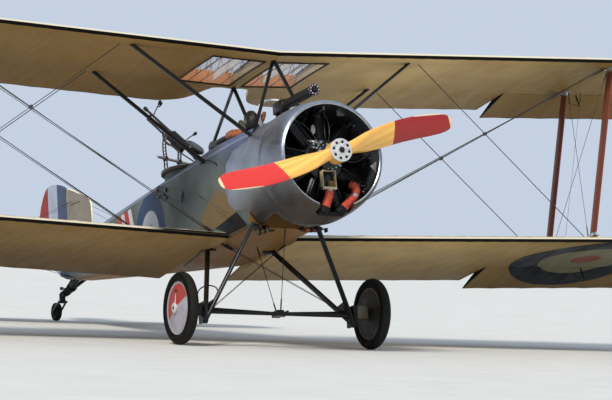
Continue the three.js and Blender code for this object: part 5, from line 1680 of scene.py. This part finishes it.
# Thinner to its ends, with slight waves along it
def roll(name, guide, thick, finish):
    line = curveThrough(guide, 6)
    last = len(line) - 1
    radii = []
    for k in range(len(line)):
        swell = sin(pi * min(max(k / last, 0.04), 0.96)) ** 0.5
        radii.append(thick * (0.35 + 0.65 * swell) * (1 + 0.05 * sin(k * 1.9)))
    piece = bar(name, line, radii, 20)
    settle(piece, finish, angle=60)


rolls = [  # name, guide points, thickness, finish
    ("foreRoll", [(-0.252, 1.880, 0.560), (-0.256, 1.760, 0.565),
                  (-0.240, 1.630, 0.545), (-0.214, 1.560, 0.530)], 0.042, tanLeather),
    ("aftRoll", [(-0.190, 2.380, 0.560), (-0.215, 2.280, 0.590),
                 (-0.240, 2.140, 0.560), (-0.250, 2.020, 0.520)], 0.038, brownLeather),
    ("screenPad", [(-0.120, 1.370, 0.590), (-0.105, 1.365, 0.640),
                   (-0.085, 1.360, 0.690)], 0.024, tanLeather),
    ("bundleRoll", [(-0.268, 1.400, 0.520), (-0.290, 1.440, 0.570),
                    (-0.282, 1.480, 0.620)], 0.030, oliveCloth),
]
for row in rolls:
    roll(*row)
coilAxis = v(-0.90, -0.40, 0.12).normalized()
coilSide, coilUp = across(coilAxis)
coilAt = v(-0.228, 1.370, 0.608)
coilRows = [
    (-0.030, 0.052), (-0.022, 0.076), (0.000, 0.082), (0.024, 0.077), (0.034, 0.066), (0.026, 0.056),
    (0.036, 0.046), (0.028, 0.036), (0.038, 0.022), (0.034, 0.010),
]
coil = lathe("bundleCoil", coilRows, 40, coilAt, coilAxis, coilSide * 0.92, coilUp * 1.12)
settle(coil, darkLeather, angle=60)
print("guns and cockpit ready")


# Pump, its bracket and small pipes behind the cowl, then fittings and cables on the starboard side
pump = [
    bar("pumpBarrel", [(-0.262, 1.300, -0.470), (-0.250, 1.302, -0.462),
                       (-0.160, 1.320, -0.430), (-0.150, 1.322, -0.426)],
        [0.036, 0.044, 0.044, 0.036], 24),
    bar("pumpArm", [(-0.196, 1.305, -0.420), (-0.200, 1.300, -0.360), (-0.192, 1.296, -0.300)],
        [0.012, 0.010, 0.009], 10),
    block("pumpHook", (-0.215, 1.288, -0.318), (-0.168, 1.308, -0.296), 0.005),
    bar("pumpTail", [(-0.160, 1.330, -0.438), (-0.110, 1.345, -0.448), (-0.060, 1.350, -0.440)], 0.008, 8),
]
for x0, x1, z in ((0.110, 0.420, -0.446), (0.150, 0.360, -0.462)):
    route = [(x0, 1.215, z), (x0 + 0.09, 1.205, z - 0.010),
             (x1 - 0.06, 1.205, z + 0.004), (x1, 1.215, z + 0.014)]
    pump.append(bar("lowPipe", curveThrough(route), 0.0075, 8))
pump += [block("pipeBlock", (x, 1.185, -0.470), (x + 0.022, 1.225, -0.432), 0.004)
         for x in (0.140, 0.236, 0.300, 0.388)]
settle(joined("pumpAndPipes", pump), gunSteel)
pumpRows = [  # places, radii and sides of the two bands and the cap
    ([(-0.240, 1.304, -0.4585), (-0.232, 1.3055, -0.4555), (-0.226, 1.307, -0.4535)],
     [0.0455, 0.0465, 0.0455], 24),
    ([(-0.186, 1.315, -0.4393), (-0.180, 1.316, -0.4372), (-0.174, 1.3175, -0.435)],
     [0.0455, 0.0465, 0.0455], 24),
    ([(-0.262, 1.300, -0.470), (-0.268, 1.299, -0.472), (-0.272, 1.298, -0.4735)],
     [0.030, 0.024, 0.012], 20),
]
settle(joined("pumpRings", [bar("pumpRing", *row) for row in pumpRows]), ringBrass)
valves = [
    block("redValve", (0.176, 1.175, -0.474), (0.222, 1.200, -0.448), 0.006),
    block("redValve", (0.262, 1.178, -0.468), (0.284, 1.200, -0.450), 0.005),
]
settle(joined("redValves", valves), hoseRubber)

sideX = -0.346
sideRuns = [  # radius, then points aft and up on the starboard side
    (0.0090, [(3.330, 0.420), (3.240, 0.376), (3.145, 0.352)]),
    (0.0090, [(3.330, 0.318), (3.230, 0.330), (3.150, 0.272)]),
    (0.0050, [(2.764, 0.240), (2.770, 0.190), (2.777, 0.134)]), (0.0045, [(2.727, 0.214), (2.727, 0.142)]),
    (0.0022, [(2.996, 0.343), (2.714, 0.248)]), (0.0022, [(3.153, 0.280), (2.823, 0.154)]),
    (0.0026, [(2.460, 0.160), (2.326, 0.089), (2.000, -0.072), (1.734, -0.200)]),
    (0.0070, [(2.372, 0.112), (2.326, 0.089), (2.290, 0.070)]),
    (0.0100, [(2.284, 0.415), (2.190, 0.407), (2.099, 0.387), (2.009, 0.355), (1.911, 0.303)]),
]
clipPlaces = [
    (3.330, 0.410), (3.364, 0.390), (3.150, 0.350), (3.324, 0.319), (3.154, 0.272), (2.764, 0.225),
    (2.290, 0.417),
]
stitch = {"count": 9, "from": (1.977, -0.116), "to": (1.657, -0.303), "y": 0.014, "z": 0.016, "cord": 0.0024}
sideParts = []
for radius, run in sideRuns:
    points = [v(sideX, y, z) for y, z in run]
    guide = points if len(points) > 2 else middled(*points)
    sideParts.append(bar("sideRun", curveThrough(guide, 4), radius, 8))
for y, z in clipPlaces:
    low, high = (sideX - 0.008, y - 0.028, z - 0.018), (sideX + 0.004, y + 0.028, z + 0.018)
    sideParts.append(block("sideClip", low, high, 0.004))
for k in range(stitch["count"]):
    y, z = (a + (b - a) * k / (stitch["count"] - 1) for a, b in zip(stitch["from"], stitch["to"]))
    ends = [(sideX, y - stitch["y"], z + stitch["z"]),
            (sideX - 0.001, y, z), (sideX, y + stitch["y"], z - stitch["z"])]
    sideParts.append(bar("stitch", ends, stitch["cord"], 6))
settle(joined("sideFittings", sideParts), blackPaint)
print("fittings ready")


# Floor
bpy.ops.object.select_all(action="DESELECT")
bpy.ops.mesh.primitive_plane_add(size=400)
floor = bpy.context.object
floor.name = "floor"
floorFinish = plainFinish("floorFinish", (0.62, 0.61, 0.58), (0.58, 0.57, 0.54), 0.85, grain=2, bump=0.02)
floor.data.materials.append(floorFinish)
